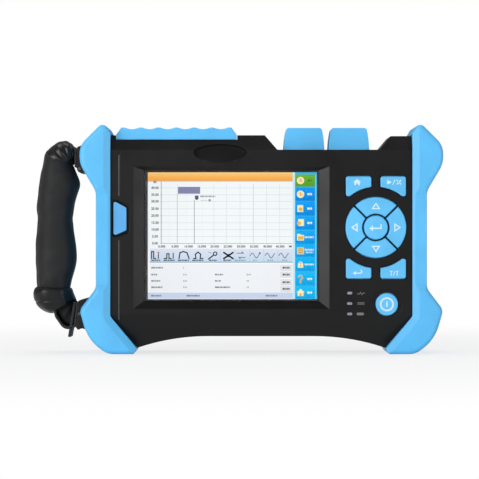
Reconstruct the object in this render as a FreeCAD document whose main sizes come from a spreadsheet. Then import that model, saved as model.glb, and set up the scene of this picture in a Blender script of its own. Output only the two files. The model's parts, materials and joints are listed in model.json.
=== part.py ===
import FreeCAD, Part
import math
import os
import types

import Sketcher
from FreeCAD import Placement, Rotation, Vector

# Optical time domain reflectometer, a hand-held fibre tester, in millimetres.
# X runs across the face, Y from the face to the back, Z up.  The driving places
# are measured from the middle of the housing; each sub-part's Placement then moves
# it sideways by the origin shift, so that the frame's origin lies under the middle
# of the whole tester with its hand strap.

SIZES = (
    # Whole tester
    ("half_width", 123.5),
    ("overall_depth", 62.0),
    ("strap_reach", 154.0),
    # Housing shells
    ("front_face", 27.0),
    ("rear_face", 26.0),
    ("parting", 4.0),
    ("seal_thickness", 0.8),
    ("seal_inset", 0.4),
    ("wall", 2.6),
    ("front_wall", 5.5),
    ("rear_wall", 3.6),
    ("shell_half_width", 106.0),
    ("shell_corner", 2.0),
    ("top_left", 149.0),
    ("top_right", 148.4),
    ("port_floor", 145.9),
    ("cap_floor", 138.9),
    ("ramp_left_run", 8.5),
    ("ramp_left_space", 4.5),
    ("ramp_right_run", 7.8),
    ("ramp_right_space", 6.55),
    ("ramp_round", 0.6),
    ("crease_round", 4.0),
    ("foot_reach", 84.0),
    ("foot_level", 4.1),
    ("arch_height", 12.0),
    ("arch_corner", 60.0),
    ("arch_radius", 150.0),
    ("face_top", 139.0),
    ("face_bottom", 27.0),
    ("top_slope", 6.0),
    ("bottom_slope", 5.0),
    ("rear_slope", 3.0),
    ("cavity_rise", 4.6),
    ("cavity_corner", 3.0),
    ("seat_gap", 0.15),
    ("crease_place", 96.8),
    ("crease_width", 1.4),
    ("crease_bottom", 0.2),
    ("crease_depth", 0.5),
    ("crease_low", 22.5),
    ("crease_high", 136.5),
    # Finger scoop under the port cover
    ("scoop_place", -27.85),
    ("scoop_low", 130.0),
    ("scoop_half_width", 18.45),
    ("scoop_half_height", 7.5),
    ("scoop_wall_run", 1.7),
    ("scoop_tilt", -20.0),
    # Corner bumpers
    ("bumper_edge", 102.6),
    ("bumper_top", 150.3),
    ("bumper_bar", 112.4),
    ("lobe_low", 129.3),
    ("lobe_low_round", 17.0),
    ("lobe_high", 141.75),
    ("lobe_high_round", 14.0),
    ("foot_crown", 30.0),
    ("foot_crown_round", 6.5),
    ("heel_rise", 9.6),
    ("heel_run", 13.3),
    ("heel_round", 30.0),
    ("sole_round", 14.0),
    ("bumper_round", 3.2),
    ("bumper_bevel", 4.6),
    ("bumper_bevel_depth", 2.3),
    ("bar_relief", 1.4),
    ("bar_low", 43.0),
    ("bar_high", 113.0),
    ("bar_blend", 4.5),
    ("sole_outer", 104.5),
    ("sole_inner", 87.0),
    # Display
    ("screen_x", -20.4),
    ("screen_z", 80.5),
    ("opening_width", 118.8),
    ("opening_height", 88.8),
    ("bevel_side", 7.2),
    ("bevel_bottom", 5.4),
    ("bevel_top", 2.7),
    ("recess_depth", 3.2),
    ("lens_lap", 2.2),
    ("lens_thickness", 1.3),
    ("lens_depth", 4.0),
    ("lcd_lap", 4.3),
    ("lcd_thickness", 7.0),
    ("bracket_thickness", 0.8),
    ("bracket_window", 10.0),
    # Keypad
    ("pad_x", 77.8),
    ("pad_z", 86.05),
    ("pad_radius", 20.6),
    ("ring_radius", 9.35),
    ("enter_radius", 8.05),
    ("enter_lip", 0.35),
    ("pad_gap", 1.2),
    ("key_gap", 0.5),
    ("key_proud", 1.4),
    ("key_travel", 1.0),
    ("key_flange", 1.0),
    ("key_edge", 0.8),
    ("key_corner", 1.5),
    ("corner_near", 3.1),
    ("corner_far", 20.4),
    ("corner_outer", 34.7),
    ("corner_inner", 21.2),
    ("corner_arc", 27.6),
    ("power_x", 85.2),
    ("power_z", 33.9),
    ("power_radius", 7.6),
    ("power_dish", 10.3),
    ("power_dish_depth", 0.6),
    ("key_wall", 2.6),
    ("well_left_margin", 2.4),
    ("well_right_margin", 2.4),
    ("well_low", 24.6),
    ("well_high", 123.5),
    ("running_gap", 0.3),
    ("stem_radius", 2.0),
    ("stem_length", 0.4),
    ("switch_size", 4.6),
    ("switch_height", 1.6),
    ("switch_button", 0.4),
    ("keyboard_thickness", 1.2),
    ("ledge_width", 2.0),
    ("ledge_gap", 0.2),
    ("ledge_low", 40.0),
    ("ledge_high", 110.0),
    ("board_clearance", 0.4),
    ("light_x", 60.0),
    ("light_z", 34.4),
    ("light_pitch", 7.1),
    ("light_width", 3.4),
    ("light_height", 1.8),
    # Badge
    ("badge_outer", -100.5),
    ("badge_inner", -91.8),
    ("badge_low", 80.4),
    ("badge_high", 104.3),
    ("badge_taper_low", 3.8),
    ("badge_taper_high", 4.9),
    ("badge_corner", 1.3),
    ("badge_margin", 2.2),
    ("badge_depth", 1.5),
    ("badge_thickness", 0.9),
    # Port cover
    ("cover_left", -99.1),
    ("cover_right", -16.8),
    ("cover_crest", 154.3),
    ("cover_shoulder", 149.3),
    ("cover_end_crest", 3.6),
    ("cover_crest_flat", 2.4),
    ("cover_scallop", 11.6),
    ("cover_edge", 0.7),
    ("cover_front", -21.6),
    ("cover_rear", 14.2),
    ("cover_gap", 0.4),
    ("cover_hinge_y", 16.8),
    ("cover_hinge_z", 148.4),
    ("cover_knuckle", 2.1),
    # Port caps
    ("cap_x", 29.3),
    ("cap_space", 2.85),
    ("cap_base", 27.8),
    ("cap_top_width", 24.0),
    ("cap_top", 154.3),
    ("cap_side_bow", 80.0),
    ("cap_corner", 2.2),
    ("cap_front", -18.0),
    ("cap_rear", 9.4),
    ("cap_hinge_y", 12.0),
    ("cap_hinge_z", 141.9),
    ("cap_knuckle", 2.4),
    ("cap_knuckle_width", 12.0),
    ("cap_ear", 3.4),
    ("cap_bore", 6.2),
    ("cap_nose_gap", 1.2),
    ("hinge_pin", 1.0),
    ("pin_play", 0.06),
    # Fibre adapters
    ("adapter_y", -4.0),
    ("adapter_flange_x", 16.0),
    ("adapter_flange_y", 13.0),
    ("adapter_flange", 1.6),
    ("adapter_barrel", 4.1),
    ("adapter_height", 10.1),
    ("adapter_tail", 4.6),
    ("adapter_tail_length", 11.0),
    ("ferrule_bore", 1.25),
    ("ferrule_depth", 10.0),
    # Sockets under the port cover
    ("socket_sink", 0.2),
    ("socket_depth", 14.0),
    ("socket_clearance", 0.25),
    # Boards and modules
    ("board_plane", -12.5),
    ("board_thickness", 1.6),
    ("board_side", 92.0),
    ("board_low", 18.0),
    ("board_step", 2.0),
    ("board_drop", 1.0),
    ("post_radius", 2.2),
    ("left_post_gap", 1.8),
    ("right_post_gap", 0.4),
    ("bracket_post_rise", 30.0),
    ("otdr_left", 14.0),
    ("otdr_width", 64.0),
    ("otdr_low", 60.0),
    ("otdr_height", 58.0),
    ("otdr_thickness", 14.0),
    ("sounder_radius", 6.0),
    ("sounder_height", 4.0),
    # Battery compartment
    ("battery_x", -46.0),
    ("battery_z", 81.0),
    ("battery_width", 84.0),
    ("battery_height", 86.0),
    ("battery_depth", 16.0),
    ("battery_gap", 0.4),
    ("battery_wall", 2.0),
    ("door_margin", 7.4),
    ("door_side_margin", 5.0),
    ("door_thickness", 2.2),
    ("door_gap", 0.25),
    ("door_corner", 4.0),
    ("door_screw_reach", 36.0),
    ("door_screw_radius", 1.2),
    ("door_screw_head", 2.4),
    ("door_boss", 2.8),
    ("door_boss_length", 8.0),
    # Housing screws
    ("screw_x", 98.0),
    ("screw_low", 21.5),
    ("screw_high", 130.0),
    ("screw_radius", 1.5),
    ("screw_head", 2.8),
    ("screw_head_height", 2.0),
    ("screw_length", 28.0),
    ("screw_seat", 22.0),
    ("screw_boss", 3.4),
    # Kickstand
    ("stand_x", 54.0),
    ("stand_half", 33.4),
    ("stand_foot_half", 22.0),
    ("stand_hinge_y", 23.2),
    ("stand_hinge_z", 104.0),
    ("stand_length", 72.0),
    ("stand_knuckle", 2.2),
    ("stand_thickness", 4.2),
    ("stand_rail", 9.0),
    ("stand_gap", 0.6),
    ("stand_recess", 5.4),
    ("stand_block", 4.0),
    ("stand_pin", 1.25),
    ("stand_pin_reach", 2.4),
    ("stand_notch", 8.0),
    # Hand strap
    ("web_thickness", 1.8),
    ("web_width", 22.0),
    ("web_hook", -127.3),
    ("web_centre", -139.6),
    ("web_top", 140.6),
    ("anchor_width", 26.0),
    ("anchor_gap", 0.2),
    ("anchor_nose", 7.0),
    ("lobe_turn", 0.415),
    ("bar_radius", 1.1),
    ("bar_upper_x", -124.6),
    ("bar_upper_z", 126.4),
    ("bar_lower_x", -124.6),
    ("bar_lower_z", 27.0),
    ("grip_gap", 0.4),
    ("grip_depth", 36.0),
)

doc = FreeCAD.newDocument("reflectometer")
sheet = doc.addObject("Spreadsheet::Sheet", "Sizes")
for row, (name, value) in enumerate(SIZES, 1):
    sheet.set(f"A{row}", name)
    sheet.set(f"B{row}", str(value))
    sheet.setAlias(f"B{row}", name)
doc.recompute()


class Size:
    """A length that carries its number and the sheet expression that gives it."""

    def __init__(self, number, text=None):
        self.number = float(number)
        self.text = text or repr(float(number))

    def join(self, other, sign, number):
        return Size(number, f"({self.text} {sign} {other.text})")

    def __add__(self, other):
        other = as_size(other)
        return self.join(other, "+", self.number + other.number)

    def __sub__(self, other):
        other = as_size(other)
        return self.join(other, "-", self.number - other.number)

    def __mul__(self, other):
        other = as_size(other)
        return self.join(other, "*", self.number * other.number)

    def __truediv__(self, other):
        other = as_size(other)
        return self.join(other, "/", self.number / other.number)

    def __radd__(self, other):
        return as_size(other) + self

    def __rsub__(self, other):
        return as_size(other) - self

    def __rmul__(self, other):
        return as_size(other) * self

    def __neg__(self):
        return Size(-self.number, f"(-{self.text})")


def as_size(value):
    return value if isinstance(value, Size) else Size(value)


def root(size):
    return Size(math.sqrt(size.number), f"sqrt({size.text})")


s = types.SimpleNamespace(**{name: Size(sheet.get(name), f"Sizes.{name}") for name, value in SIZES})
origin_shift = (s.strap_reach - s.half_width) / 2
front = -s.front_face
seal_rear = s.parting + s.seal_thickness
cavity_front = front + s.front_wall
cavity_rear = s.rear_face - s.rear_wall
second_cap = s.cap_x + s.cap_base + s.cap_space
ramp_left_foot = s.cap_x - s.cap_base / 2 - s.ramp_left_space
ramp_left_top = ramp_left_foot - s.ramp_left_run
ramp_right_foot = second_cap + s.cap_base / 2 + s.ramp_right_space
ramp_right_top = ramp_right_foot + s.ramp_right_run
well_left = s.pad_x - s.pad_radius - s.well_left_margin
well_right = s.pad_x + s.pad_radius + s.well_right_margin
board_right = s.shell_half_width - s.wall - s.board_clearance


# ---------------------------------------------------------------- sketch helpers

def corner(x, y, rounding=None, bow=None):
    """A corner of a loop; bow is the signed radius of an arc to the next corner,
    positive with its centre on the left of the way round."""
    rounding = None if rounding is None else as_size(rounding)
    return types.SimpleNamespace(x=as_size(x), y=as_size(y), rounding=rounding, bow=bow)


def circle(x, y, radius):
    return types.SimpleNamespace(x=as_size(x), y=as_size(y), radius=as_size(radius))


def box(left, right, low, high, rounding=None):
    """A rectangular loop."""
    return [corner(left, low, rounding), corner(right, low, rounding),
            corner(right, high, rounding), corner(left, high, rounding)]


def point_of(place):
    return Vector(place.x.number, place.y.number, 0)


def arc_between(centre, start, end, left_turn):
    """An arc from start to end; a sketch arc always runs to the left."""
    first, last = (start, end) if left_turn else (end, start)
    first_angle = math.atan2(first.y - centre.y, first.x - centre.x)
    last_angle = math.atan2(last.y - centre.y, last.x - centre.x)
    if last_angle <= first_angle:
        last_angle += 2 * math.pi
    ring = Part.Circle(centre, Vector(0, 0, 1), (start - centre).Length)
    return Part.ArcOfCircle(ring, first_angle, last_angle)


class Pen:
    """Draws loops into a sketch and binds every corner and radius to the sheet."""

    def __init__(self, sketch):
        self.sketch = sketch

    def geometry(self, shape, construction=False):
        return self.sketch.addGeometry(shape, construction)

    def fix(self, *parts):
        """Adds a constraint; a Size as the last part is its bound value."""
        size = parts[-1] if isinstance(parts[-1], Size) else None
        if size is None:
            self.sketch.addConstraint(Sketcher.Constraint(*parts))
            return
        index = self.sketch.addConstraint(Sketcher.Constraint(*parts[:-1], size.number))
        if "Sizes." in size.text:
            self.sketch.setExpression(f"Constraints[{index}]", size.text)

    def place(self, index, end, spot):
        self.fix("DistanceX", -1, 1, index, end, spot.x)
        self.fix("DistanceY", -1, 1, index, end, spot.y)

    def ring(self, ring):
        index = self.geometry(Part.Circle(point_of(ring), Vector(0, 0, 1), ring.radius.number))
        self.place(index, 3, ring)
        self.fix("Radius", index, ring.radius)

    def loop(self, corners, closed=True):
        count = len(corners)
        points = [point_of(c) for c in corners]
        leave, arrive, turns = list(points), list(points), [0] * count
        for i, spot in enumerate(corners):
            if spot.rounding is None:
                continue
            back = (points[i - 1] - points[i]).normalize()
            ahead = (points[(i + 1) % count] - points[i]).normalize()
            trim = spot.rounding.number / math.tan(back.getAngle(ahead) / 2)
            arrive[i] = points[i] + back * trim
            leave[i] = points[i] + ahead * trim
            turns[i] = 1 if (-back).cross(ahead).z > 0 else -1
        runs = []
        for i in range(count if closed else count - 1):
            start, end = leave[i], arrive[(i + 1) % count]
            bow = corners[i].bow
            if bow is None:
                runs.append((self.geometry(Part.LineSegment(start, end)), 1, 2))
                continue
            middle, chord = (start + end) / 2, end - start
            left = Vector(-chord.y, chord.x, 0).normalize()
            rise = math.sqrt(bow.number ** 2 - (chord.Length / 2) ** 2)
            to_left = bow.number > 0
            centre = middle + left * (rise if to_left else -rise)
            index = self.geometry(arc_between(centre, start, end, to_left))
            self.fix("Radius", index, bow if to_left else -bow)
            runs.append((index, 1, 2) if to_left else (index, 2, 1))
        for i, spot in enumerate(corners):
            if not closed and i == 0:
                self.place(runs[0][0], runs[0][1], spot)
                continue
            before, _, before_end = runs[i - 1]
            if not closed and i == count - 1:
                self.place(before, before_end, spot)
                continue
            after, after_start, _ = runs[i]
            if spot.rounding is None:
                self.fix("Coincident", before, before_end, after, after_start)
                self.place(after, after_start, spot)
                continue
            inward = (leave[i] - points[i]).normalize() + (arrive[i] - points[i]).normalize()
            half = leave[i].sub(points[i]).getAngle(inward)
            centre = points[i] + inward.normalize() * (spot.rounding.number / math.sin(half))
            arc = self.geometry(arc_between(centre, arrive[i], leave[i], turns[i] > 0))
            first, last = (1, 2) if turns[i] > 0 else (2, 1)
            mark = self.geometry(Part.Point(points[i]), True)
            self.fix("Tangent", before, before_end, arc, first)
            self.fix("Tangent", arc, last, after, after_start)
            self.fix("Radius", arc, spot.rounding)
            self.place(mark, 1, spot)
            self.fix("PointOnObject", mark, 1, before)
            self.fix("PointOnObject", mark, 1, after)


PLANES = {"front": ("XZ_Plane", -1), "plan": ("XY_Plane", 1), "side": ("YZ_Plane", 1)}


def draw(body, name, plane, level, loops, closed=True, shift=None, lean=None):
    """A sketch of the given loops on one of the body's own planes, moved along its normal.

    With a lean it is drawn from a height up, on a plane that tips about its own X there."""
    role, sense = PLANES[plane]
    sketch = body.newObject("Sketcher::SketchObject", f"{body.Label}_{name}")
    support = [feature for feature in body.Origin.OriginFeatures if feature.Role == role]
    sketch.AttachmentSupport = [(support[0], "")]
    sketch.MapMode = "FlatFace"
    offset = as_size(level) * sense
    across = as_size(shift if shift is not None else 0)
    sketch.AttachmentOffset = Placement(Vector(across.number, 0, offset.number), Rotation())
    bind(sketch, "AttachmentOffset.Base.z", offset)
    bind(sketch, "AttachmentOffset.Base.x", across)
    if lean is not None:
        rise, tilt = lean
        tipped = Placement(Vector(across.number, rise.number, offset.number),
                           Rotation(Vector(1, 0, 0), tilt.number))
        sketch.AttachmentOffset = tipped
        bind(sketch, "AttachmentOffset.Base.y", rise)
        bind(sketch, "AttachmentOffset.Rotation.Angle", tilt)
    pen = Pen(sketch)
    for loop in loops:
        if isinstance(loop, list):
            pen.loop(loop, closed)
        else:
            pen.ring(loop)
    return sketch


def bind(feature, name, size):
    """Sets a property, or only its expression where it is a part of a placement."""
    size = as_size(size)
    if "." not in name:
        setattr(feature, name, size.number)
    if "Sizes." in size.text:
        feature.setExpression(name, size.text)


# ---------------------------------------------------------------- feature helpers

def make_body(label, at=(0, 0), turn=0):
    """A body whose own X and Z zero lie at a place on the housing's face."""
    body = doc.addObject("PartDesign::Body", label)
    body.Label = label
    body.AllowCompound = True
    across = as_size(at[0]) + origin_shift
    up = as_size(at[1])
    body.Placement = Placement(Vector(across.number, 0, up.number), Rotation(Vector(0, 1, 0), turn))
    body.setExpression("Placement.Base.x", across.text)
    bind(body, "Placement.Base.z", up)
    return body


def settle(body, feature):
    doc.recompute()
    if "Invalid" in feature.State or "Error" in feature.State or feature.Shape.isNull():
        raise RuntimeError(f"{feature.Name} failed: {feature.State}")
    return feature


def add(body, name, plane, start, length, loops, shift=None):
    """Pads the loops from start towards +Y, +Z or +X."""
    sketch = draw(body, f"{name}_sketch", plane, start, loops, shift=shift)
    pad = body.newObject("PartDesign::Pad", f"{body.Label}_{name}")
    pad.Profile = sketch
    bind(pad, "Length", length)
    pad.Reversed = plane == "front"
    sketch.Visibility = False
    return settle(body, pad)


def cut_feature(body, kind, name, profile, setup):
    """Adds a cutting feature and makes sure that it takes material away."""
    before = body.Shape.Volume
    feature = body.newObject(kind, f"{body.Label}_{name}")
    feature.Profile = profile
    setup(feature)
    settle(body, feature)
    if body.Shape.Volume > before - 1e-3:
        raise RuntimeError(f"{feature.Name} cuts nothing")
    return feature


def remove(body, name, plane, start, length, loops, shift=None):
    """Pockets the loops from start towards +Y, +Z or +X."""
    sketch = draw(body, f"{name}_sketch", plane, start, loops, shift=shift)

    def setup(pocket):
        bind(pocket, "Length", length)
        pocket.Reversed = plane != "front"

    return cut_feature(body, "PartDesign::Pocket", name, sketch, setup)


def remove_loft(body, name, plane, near, near_loop, far, far_loop, lean=None):
    first = draw(body, f"{name}_near", plane, near, [near_loop])
    second = draw(body, f"{name}_far", plane, far, [far_loop], lean=lean)

    def setup(loft):
        loft.Sections = [second]
        loft.Ruled = True

    return cut_feature(body, "PartDesign::SubtractiveLoft", name, first, setup)


def dress(body, kind, size, wanted, name, second=None):
    """Fillets or chamfers the edges of the tip that the test picks."""
    base = body.Tip
    names = [f"Edge{n}" for n, edge in enumerate(base.Shape.Edges, 1) if wanted(edge)]
    if not names:
        raise RuntimeError(f"{body.Label} {name}: no edges")
    feature = body.newObject(f"PartDesign::{kind}", f"{body.Label}_{name}")
    feature.Base = (base, names)
    if kind == "Fillet":
        bind(feature, "Radius", size)
    else:
        bind(feature, "Size", size)
    if second is not None:
        feature.ChamferType = "Two distances"
        bind(feature, "Size2", second)
    return settle(body, feature)


def at_y(edge, level):
    bounds, place = edge.BoundBox, as_size(level).number
    return abs(bounds.YMin - place) < 1e-4 and abs(bounds.YMax - place) < 1e-4


def at_z(edge, level):
    bounds, place = edge.BoundBox, as_size(level).number
    return abs(bounds.ZMin - place) < 1e-4 and abs(bounds.ZMax - place) < 1e-4


# ---------------------------------------------------------------- housing shells

def shell_loop(inset, left_level, foot, corner_size, foot_arch=True):
    """The housing's outline from the front, moved inwards by the inset."""
    side = s.shell_half_width - inset
    ramp_out = inset / 2
    right_level = left_level if inset.number > 1 else s.top_right
    bottom = [corner(-side, foot, corner_size)]
    if foot_arch:
        bottom += [corner(-s.foot_reach, foot),
                   corner(-s.arch_corner, s.arch_height + inset, s.arch_radius),
                   corner(s.arch_corner, s.arch_height + inset, s.arch_radius),
                   corner(s.foot_reach, foot)]
    return bottom + [
        corner(side, foot, corner_size),
        corner(side, right_level, corner_size),
        corner(ramp_right_top + ramp_out, right_level, s.ramp_round),
        corner(ramp_right_foot + ramp_out, s.cap_floor - inset, s.ramp_round),
        corner(ramp_left_foot - ramp_out, s.cap_floor - inset, s.ramp_round),
        corner(ramp_left_top - ramp_out, left_level, s.ramp_round),
        corner(-side, left_level, corner_size)]


def outer_loop(inset=as_size(0)):
    return shell_loop(inset, s.top_left, s.foot_level + inset, s.shell_corner)


def cavity_loop():
    return shell_loop(s.wall, s.port_floor - s.wall, s.arch_height + s.cavity_rise,
                      s.cavity_corner, foot_arch=False)


def cut_bands(body, face, top_back, bottom_back, outward):
    """Slopes the shell back above and below its flat face."""
    rise = s.top_left - s.face_top
    drop = s.face_bottom - s.arch_height
    over = face + outward
    remove(body, "top_band", "side", -s.half_width, 2 * s.half_width,
           [[corner(face, s.face_top), corner(face - 2 * top_back * outward, s.face_top + 2 * rise),
             corner(over, s.face_top + 2 * rise), corner(over, s.face_top)]])
    remove(body, "bottom_band", "side", -s.half_width, 2 * s.half_width,
           [[corner(face, s.face_bottom),
             corner(face - 2 * bottom_back * outward, s.face_bottom - 2 * drop),
             corner(over, s.face_bottom - 2 * drop), corner(over, s.face_bottom)]])


def cut_port_recess(body, start, length):
    remove(body, "port_recess", "front", start, length,
           [box(s.cover_left - s.cover_gap, s.cover_right + s.cover_gap,
                s.port_floor, s.top_left + 5)])


def screw_places(radius):
    return [circle(x, z, radius) for x in (-s.screw_x, s.screw_x)
            for z in (s.screw_low, s.screw_high)]


def post_columns():
    """The posts stand in two columns, one on each side of the display module."""
    half = s.opening_width / 2 + s.lcd_lap
    return [s.screen_x - half - s.left_post_gap - s.post_radius,
            s.screen_x + half + s.right_post_gap + s.post_radius]


def square(place):
    """The square round a circle, for bosses and posts that nobody sees."""
    return box(place.x - place.radius, place.x + place.radius,
               place.y - place.radius, place.y + place.radius)


def hexagon(place):
    """A driver's socket inside a screw's head."""
    reach, half = place.radius, place.radius * 0.5
    flat = place.radius * math.sqrt(0.75)
    return [corner(place.x + reach, place.y), corner(place.x + half, place.y + flat),
            corner(place.x - half, place.y + flat), corner(place.x - reach, place.y),
            corner(place.x - half, place.y - flat), corner(place.x + half, place.y - flat)]


def bracket_posts(radius):
    return [square(circle(x, s.screen_z + z, radius)) for x in post_columns()
            for z in (-s.bracket_post_rise, s.bracket_post_rise)]


def board_posts(radius):
    return [square(circle(x, z, radius)) for x in post_columns()
            for z in (s.board_low + 7, s.cap_floor - 7)]


def badge_loop(margin):
    """The badge's trapezoid, its long side at the left."""
    rounding = s.badge_corner + margin / 2
    return [corner(s.badge_outer - margin / 2, s.badge_low - margin, rounding),
            corner(s.badge_inner + margin, s.badge_low + s.badge_taper_low - margin, rounding),
            corner(s.badge_inner + margin, s.badge_high - s.badge_taper_high + margin, rounding),
            corner(s.badge_outer - margin / 2, s.badge_high + margin, rounding)]


def corner_key_loop(side, level, grow):
    """A corner key: straight outside, hollowed round the round pad inside."""
    near, far = s.corner_near - grow, s.corner_far + grow
    inner, outer = s.corner_inner - grow, s.corner_outer + grow
    arc = s.corner_arc - grow
    curve_out = root(arc * arc - inner * inner)
    curve_up = root(arc * arc - near * near)
    bow = -arc if side * level > 0 else arc
    rounding = s.key_corner + grow
    return [corner(side * near, level * curve_up, bow=bow),
            corner(side * curve_out, level * inner),
            corner(side * far, level * inner, rounding),
            corner(side * far, level * outer, rounding),
            corner(side * near, level * outer, rounding)]


def oval(x, y, half_width, half_height, sides=20):
    """A straight-sided oval."""
    angles = [2 * math.pi * (n + 0.5) / sides for n in range(sides)]
    return [corner(x + half_width * math.cos(angle), y + half_height * math.sin(angle))
            for angle in angles]


def moved(loop, x, y):
    """The same loop drawn round another centre."""
    return [corner(c.x + x, c.y + y, c.rounding, c.bow) for c in loop]


def lights(grow):
    half_x, half_z = s.light_width / 2 + grow, s.light_height / 2 + grow
    rows = [s.light_z + s.light_pitch * step for step in (-1, 0, 1)]
    return [box(s.light_x - half_x, s.light_x + half_x, z - half_z, z + half_z, s.light_height / 2.2)
            for z in rows]


CORNER_KEYS = {"key_home": (-1, 1), "key_run": (1, 1), "key_escape": (-1, -1), "key_cursor": (1, -1)}


def front_shell():
    body = make_body("front_shell")
    add(body, "block", "front", front, s.front_face + s.parting, [outer_loop()])
    cut_bands(body, front, s.top_slope, s.bottom_slope, -1)
    dress(body, "Fillet", s.crease_round,
          lambda e: at_y(e, front) and at_z(e, s.face_bottom), "face_crease")
    remove(body, "power_dish", "front", front - 1, 1 + s.power_dish_depth,
           [circle(s.power_x, s.power_z, s.power_dish)])
    cut_port_recess(body, front - 1, s.front_face + s.parting + 2)
    remove(body, "cavity", "front", cavity_front, s.parting - cavity_front + 1, [cavity_loop()])
    # Screen bezel: a mitred bevel down to the opening, then a ledge for the lens behind it
    half_x, half_z = s.opening_width / 2, s.opening_height / 2
    opening = box(s.screen_x - half_x, s.screen_x + half_x, s.screen_z - half_z, s.screen_z + half_z)
    rim = box(s.screen_x - half_x - s.bevel_side, s.screen_x + half_x + s.bevel_side,
              s.screen_z - half_z - s.bevel_bottom, s.screen_z + half_z + s.bevel_top)
    remove_loft(body, "bezel", "front", front, rim, front + s.recess_depth, opening)
    remove(body, "window", "front", front + s.recess_depth - 0.1, s.front_wall, [opening])
    lap = s.lens_lap + s.seat_gap
    remove(body, "lens_ledge", "front", front + s.lens_depth, s.front_wall - s.lens_depth + 0.5,
           [box(s.screen_x - half_x - lap, s.screen_x + half_x + lap,
                s.screen_z - half_z - lap, s.screen_z + half_z + lap)])
    # Finger scoop: an oval whose floor leans back from its lowest point
    half_width, half_height, run = s.scoop_half_width, s.scoop_half_height, s.scoop_wall_run
    mouth = oval(s.scoop_place, s.scoop_low + half_height, half_width, half_height)
    floor = oval(s.scoop_place, half_height - run / 2, half_width - run, half_height - run)
    remove_loft(body, "scoop", "front", front, mouth, front, floor, lean=(s.scoop_low, s.scoop_tilt))
    # Keypad: a thin wall over a well, with one round opening and one for each corner key
    remove(body, "key_well", "front", front + s.key_wall, s.front_wall - s.key_wall + 0.5,
           [box(well_left, well_right, s.well_low, s.well_high, s.key_corner)])
    remove(body, "pad_opening", "front", front - 1, s.front_wall,
           [circle(s.pad_x, s.pad_z, s.pad_radius + s.key_gap)])
    for label, (side, level) in CORNER_KEYS.items():
        loop = corner_key_loop(side, level, s.key_gap)
        remove(body, f"{label}_opening", "front", front - 1, s.front_wall,
               [moved(loop, s.pad_x, s.pad_z)])
    remove(body, "power_opening", "front", front - 1, s.front_wall,
           [circle(s.power_x, s.power_z, s.power_radius + s.key_gap)])
    remove(body, "light_openings", "front", front - 1, s.front_wall, lights(s.seat_gap))
    # Badge pocket and the crease down the left side
    remove_loft(body, "badge_pocket", "front", front, badge_loop(s.badge_margin),
                front + s.badge_depth, badge_loop(s.key_gap))
    half, bottom = s.crease_width / 2, s.crease_bottom / 2
    gap = s.badge_margin + half
    for name, low, high in (("lower_crease", s.crease_low, s.badge_low - gap),
                            ("upper_crease", s.badge_high + gap, s.crease_high)):
        remove_loft(body, name, "front",
                    front, box(-s.crease_place - half, -s.crease_place + half, low, high),
                    front + s.crease_depth,
                    box(-s.crease_place - bottom, -s.crease_place + bottom, low + half, high - half))
    # Inside: posts, keyboard ledges and screw bosses
    add(body, "bracket_posts", "front", cavity_front, s.lcd_thickness, bracket_posts(s.post_radius))
    add(body, "board_posts", "front", cavity_front, s.board_plane - cavity_front,
        board_posts(s.post_radius))
    ledge = keyboard_plane() - cavity_front
    add(body, "key_ledges", "front", cavity_front, ledge,
        [box(well_left - s.ledge_gap - s.ledge_width, well_left - s.ledge_gap,
             s.ledge_low, s.ledge_high),
         box(board_right - s.ledge_width, board_right + s.board_clearance + s.ledge_gap,
             s.ledge_low, s.ledge_high)])
    add(body, "screw_bosses", "front", cavity_front, s.parting - cavity_front,
        [square(place) for place in screw_places(s.screw_boss)])
    remove(body, "screw_holes", "front", s.screw_seat - s.screw_length - 1, 40,
           screw_places(s.screw_radius + s.pin_play))
    # Openings in the roof
    for name, loop in socket_places(s.socket_clearance).items():
        remove(body, f"{name}_slot", "plan", s.port_floor - 10, 12, [loop])
    remove(body, "adapter_holes", "plan", s.cap_floor - 8, 10,
           [circle(x, s.adapter_y, s.adapter_tail + s.seat_gap) for x in cap_places()])


def keyboard_plane():
    """The keyboard's front: the keys' backs, their travel, the gap and the switches."""
    return (front + s.key_wall + s.running_gap + s.key_flange + s.stem_length + s.key_travel
            + s.running_gap + s.switch_button + s.switch_height)


def cap_places():
    return [s.cap_x, second_cap]


SOCKETS = {"usb_socket": (-84.0, 13.2, 5.7), "mini_usb_socket": (-66.5, 7.8, 4.0),
           "dc_jack": (-51.5, 9.0, 9.0), "card_slot": (-33.0, 25.0, 3.0)}


def socket_places(grow):
    """Each socket's outline seen from above, its back on the main board."""
    rear = s.board_plane + s.board_thickness
    return {name: box(x - width / 2 - grow, x + width / 2 + grow, rear - grow, rear + depth + grow)
            for name, (x, width, depth) in SOCKETS.items()}


def battery_loop(grow, extra=0):
    half_x = s.battery_width / 2 + grow
    half_z = s.battery_height / 2 + grow + extra
    return box(s.battery_x - half_x, s.battery_x + half_x, s.battery_z - half_z, s.battery_z + half_z,
               s.battery_wall)


def door_loop(grow):
    half_x = s.battery_width / 2 + s.door_side_margin + grow
    half_z = s.battery_height / 2 + s.door_margin + grow
    return box(s.battery_x - half_x, s.battery_x + half_x,
               s.battery_z - half_z, s.battery_z + half_z, s.door_corner + grow)


def door_screws(radius):
    reach = s.battery_height / 2 + s.battery_gap + s.battery_wall + s.door_boss
    return [circle(s.battery_x + x, s.battery_z + z, radius)
            for x in (-s.door_screw_reach, s.door_screw_reach) for z in (-reach, reach)]


def well_front():
    return s.rear_face - s.door_thickness - s.battery_depth - s.battery_gap - s.battery_wall


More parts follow.
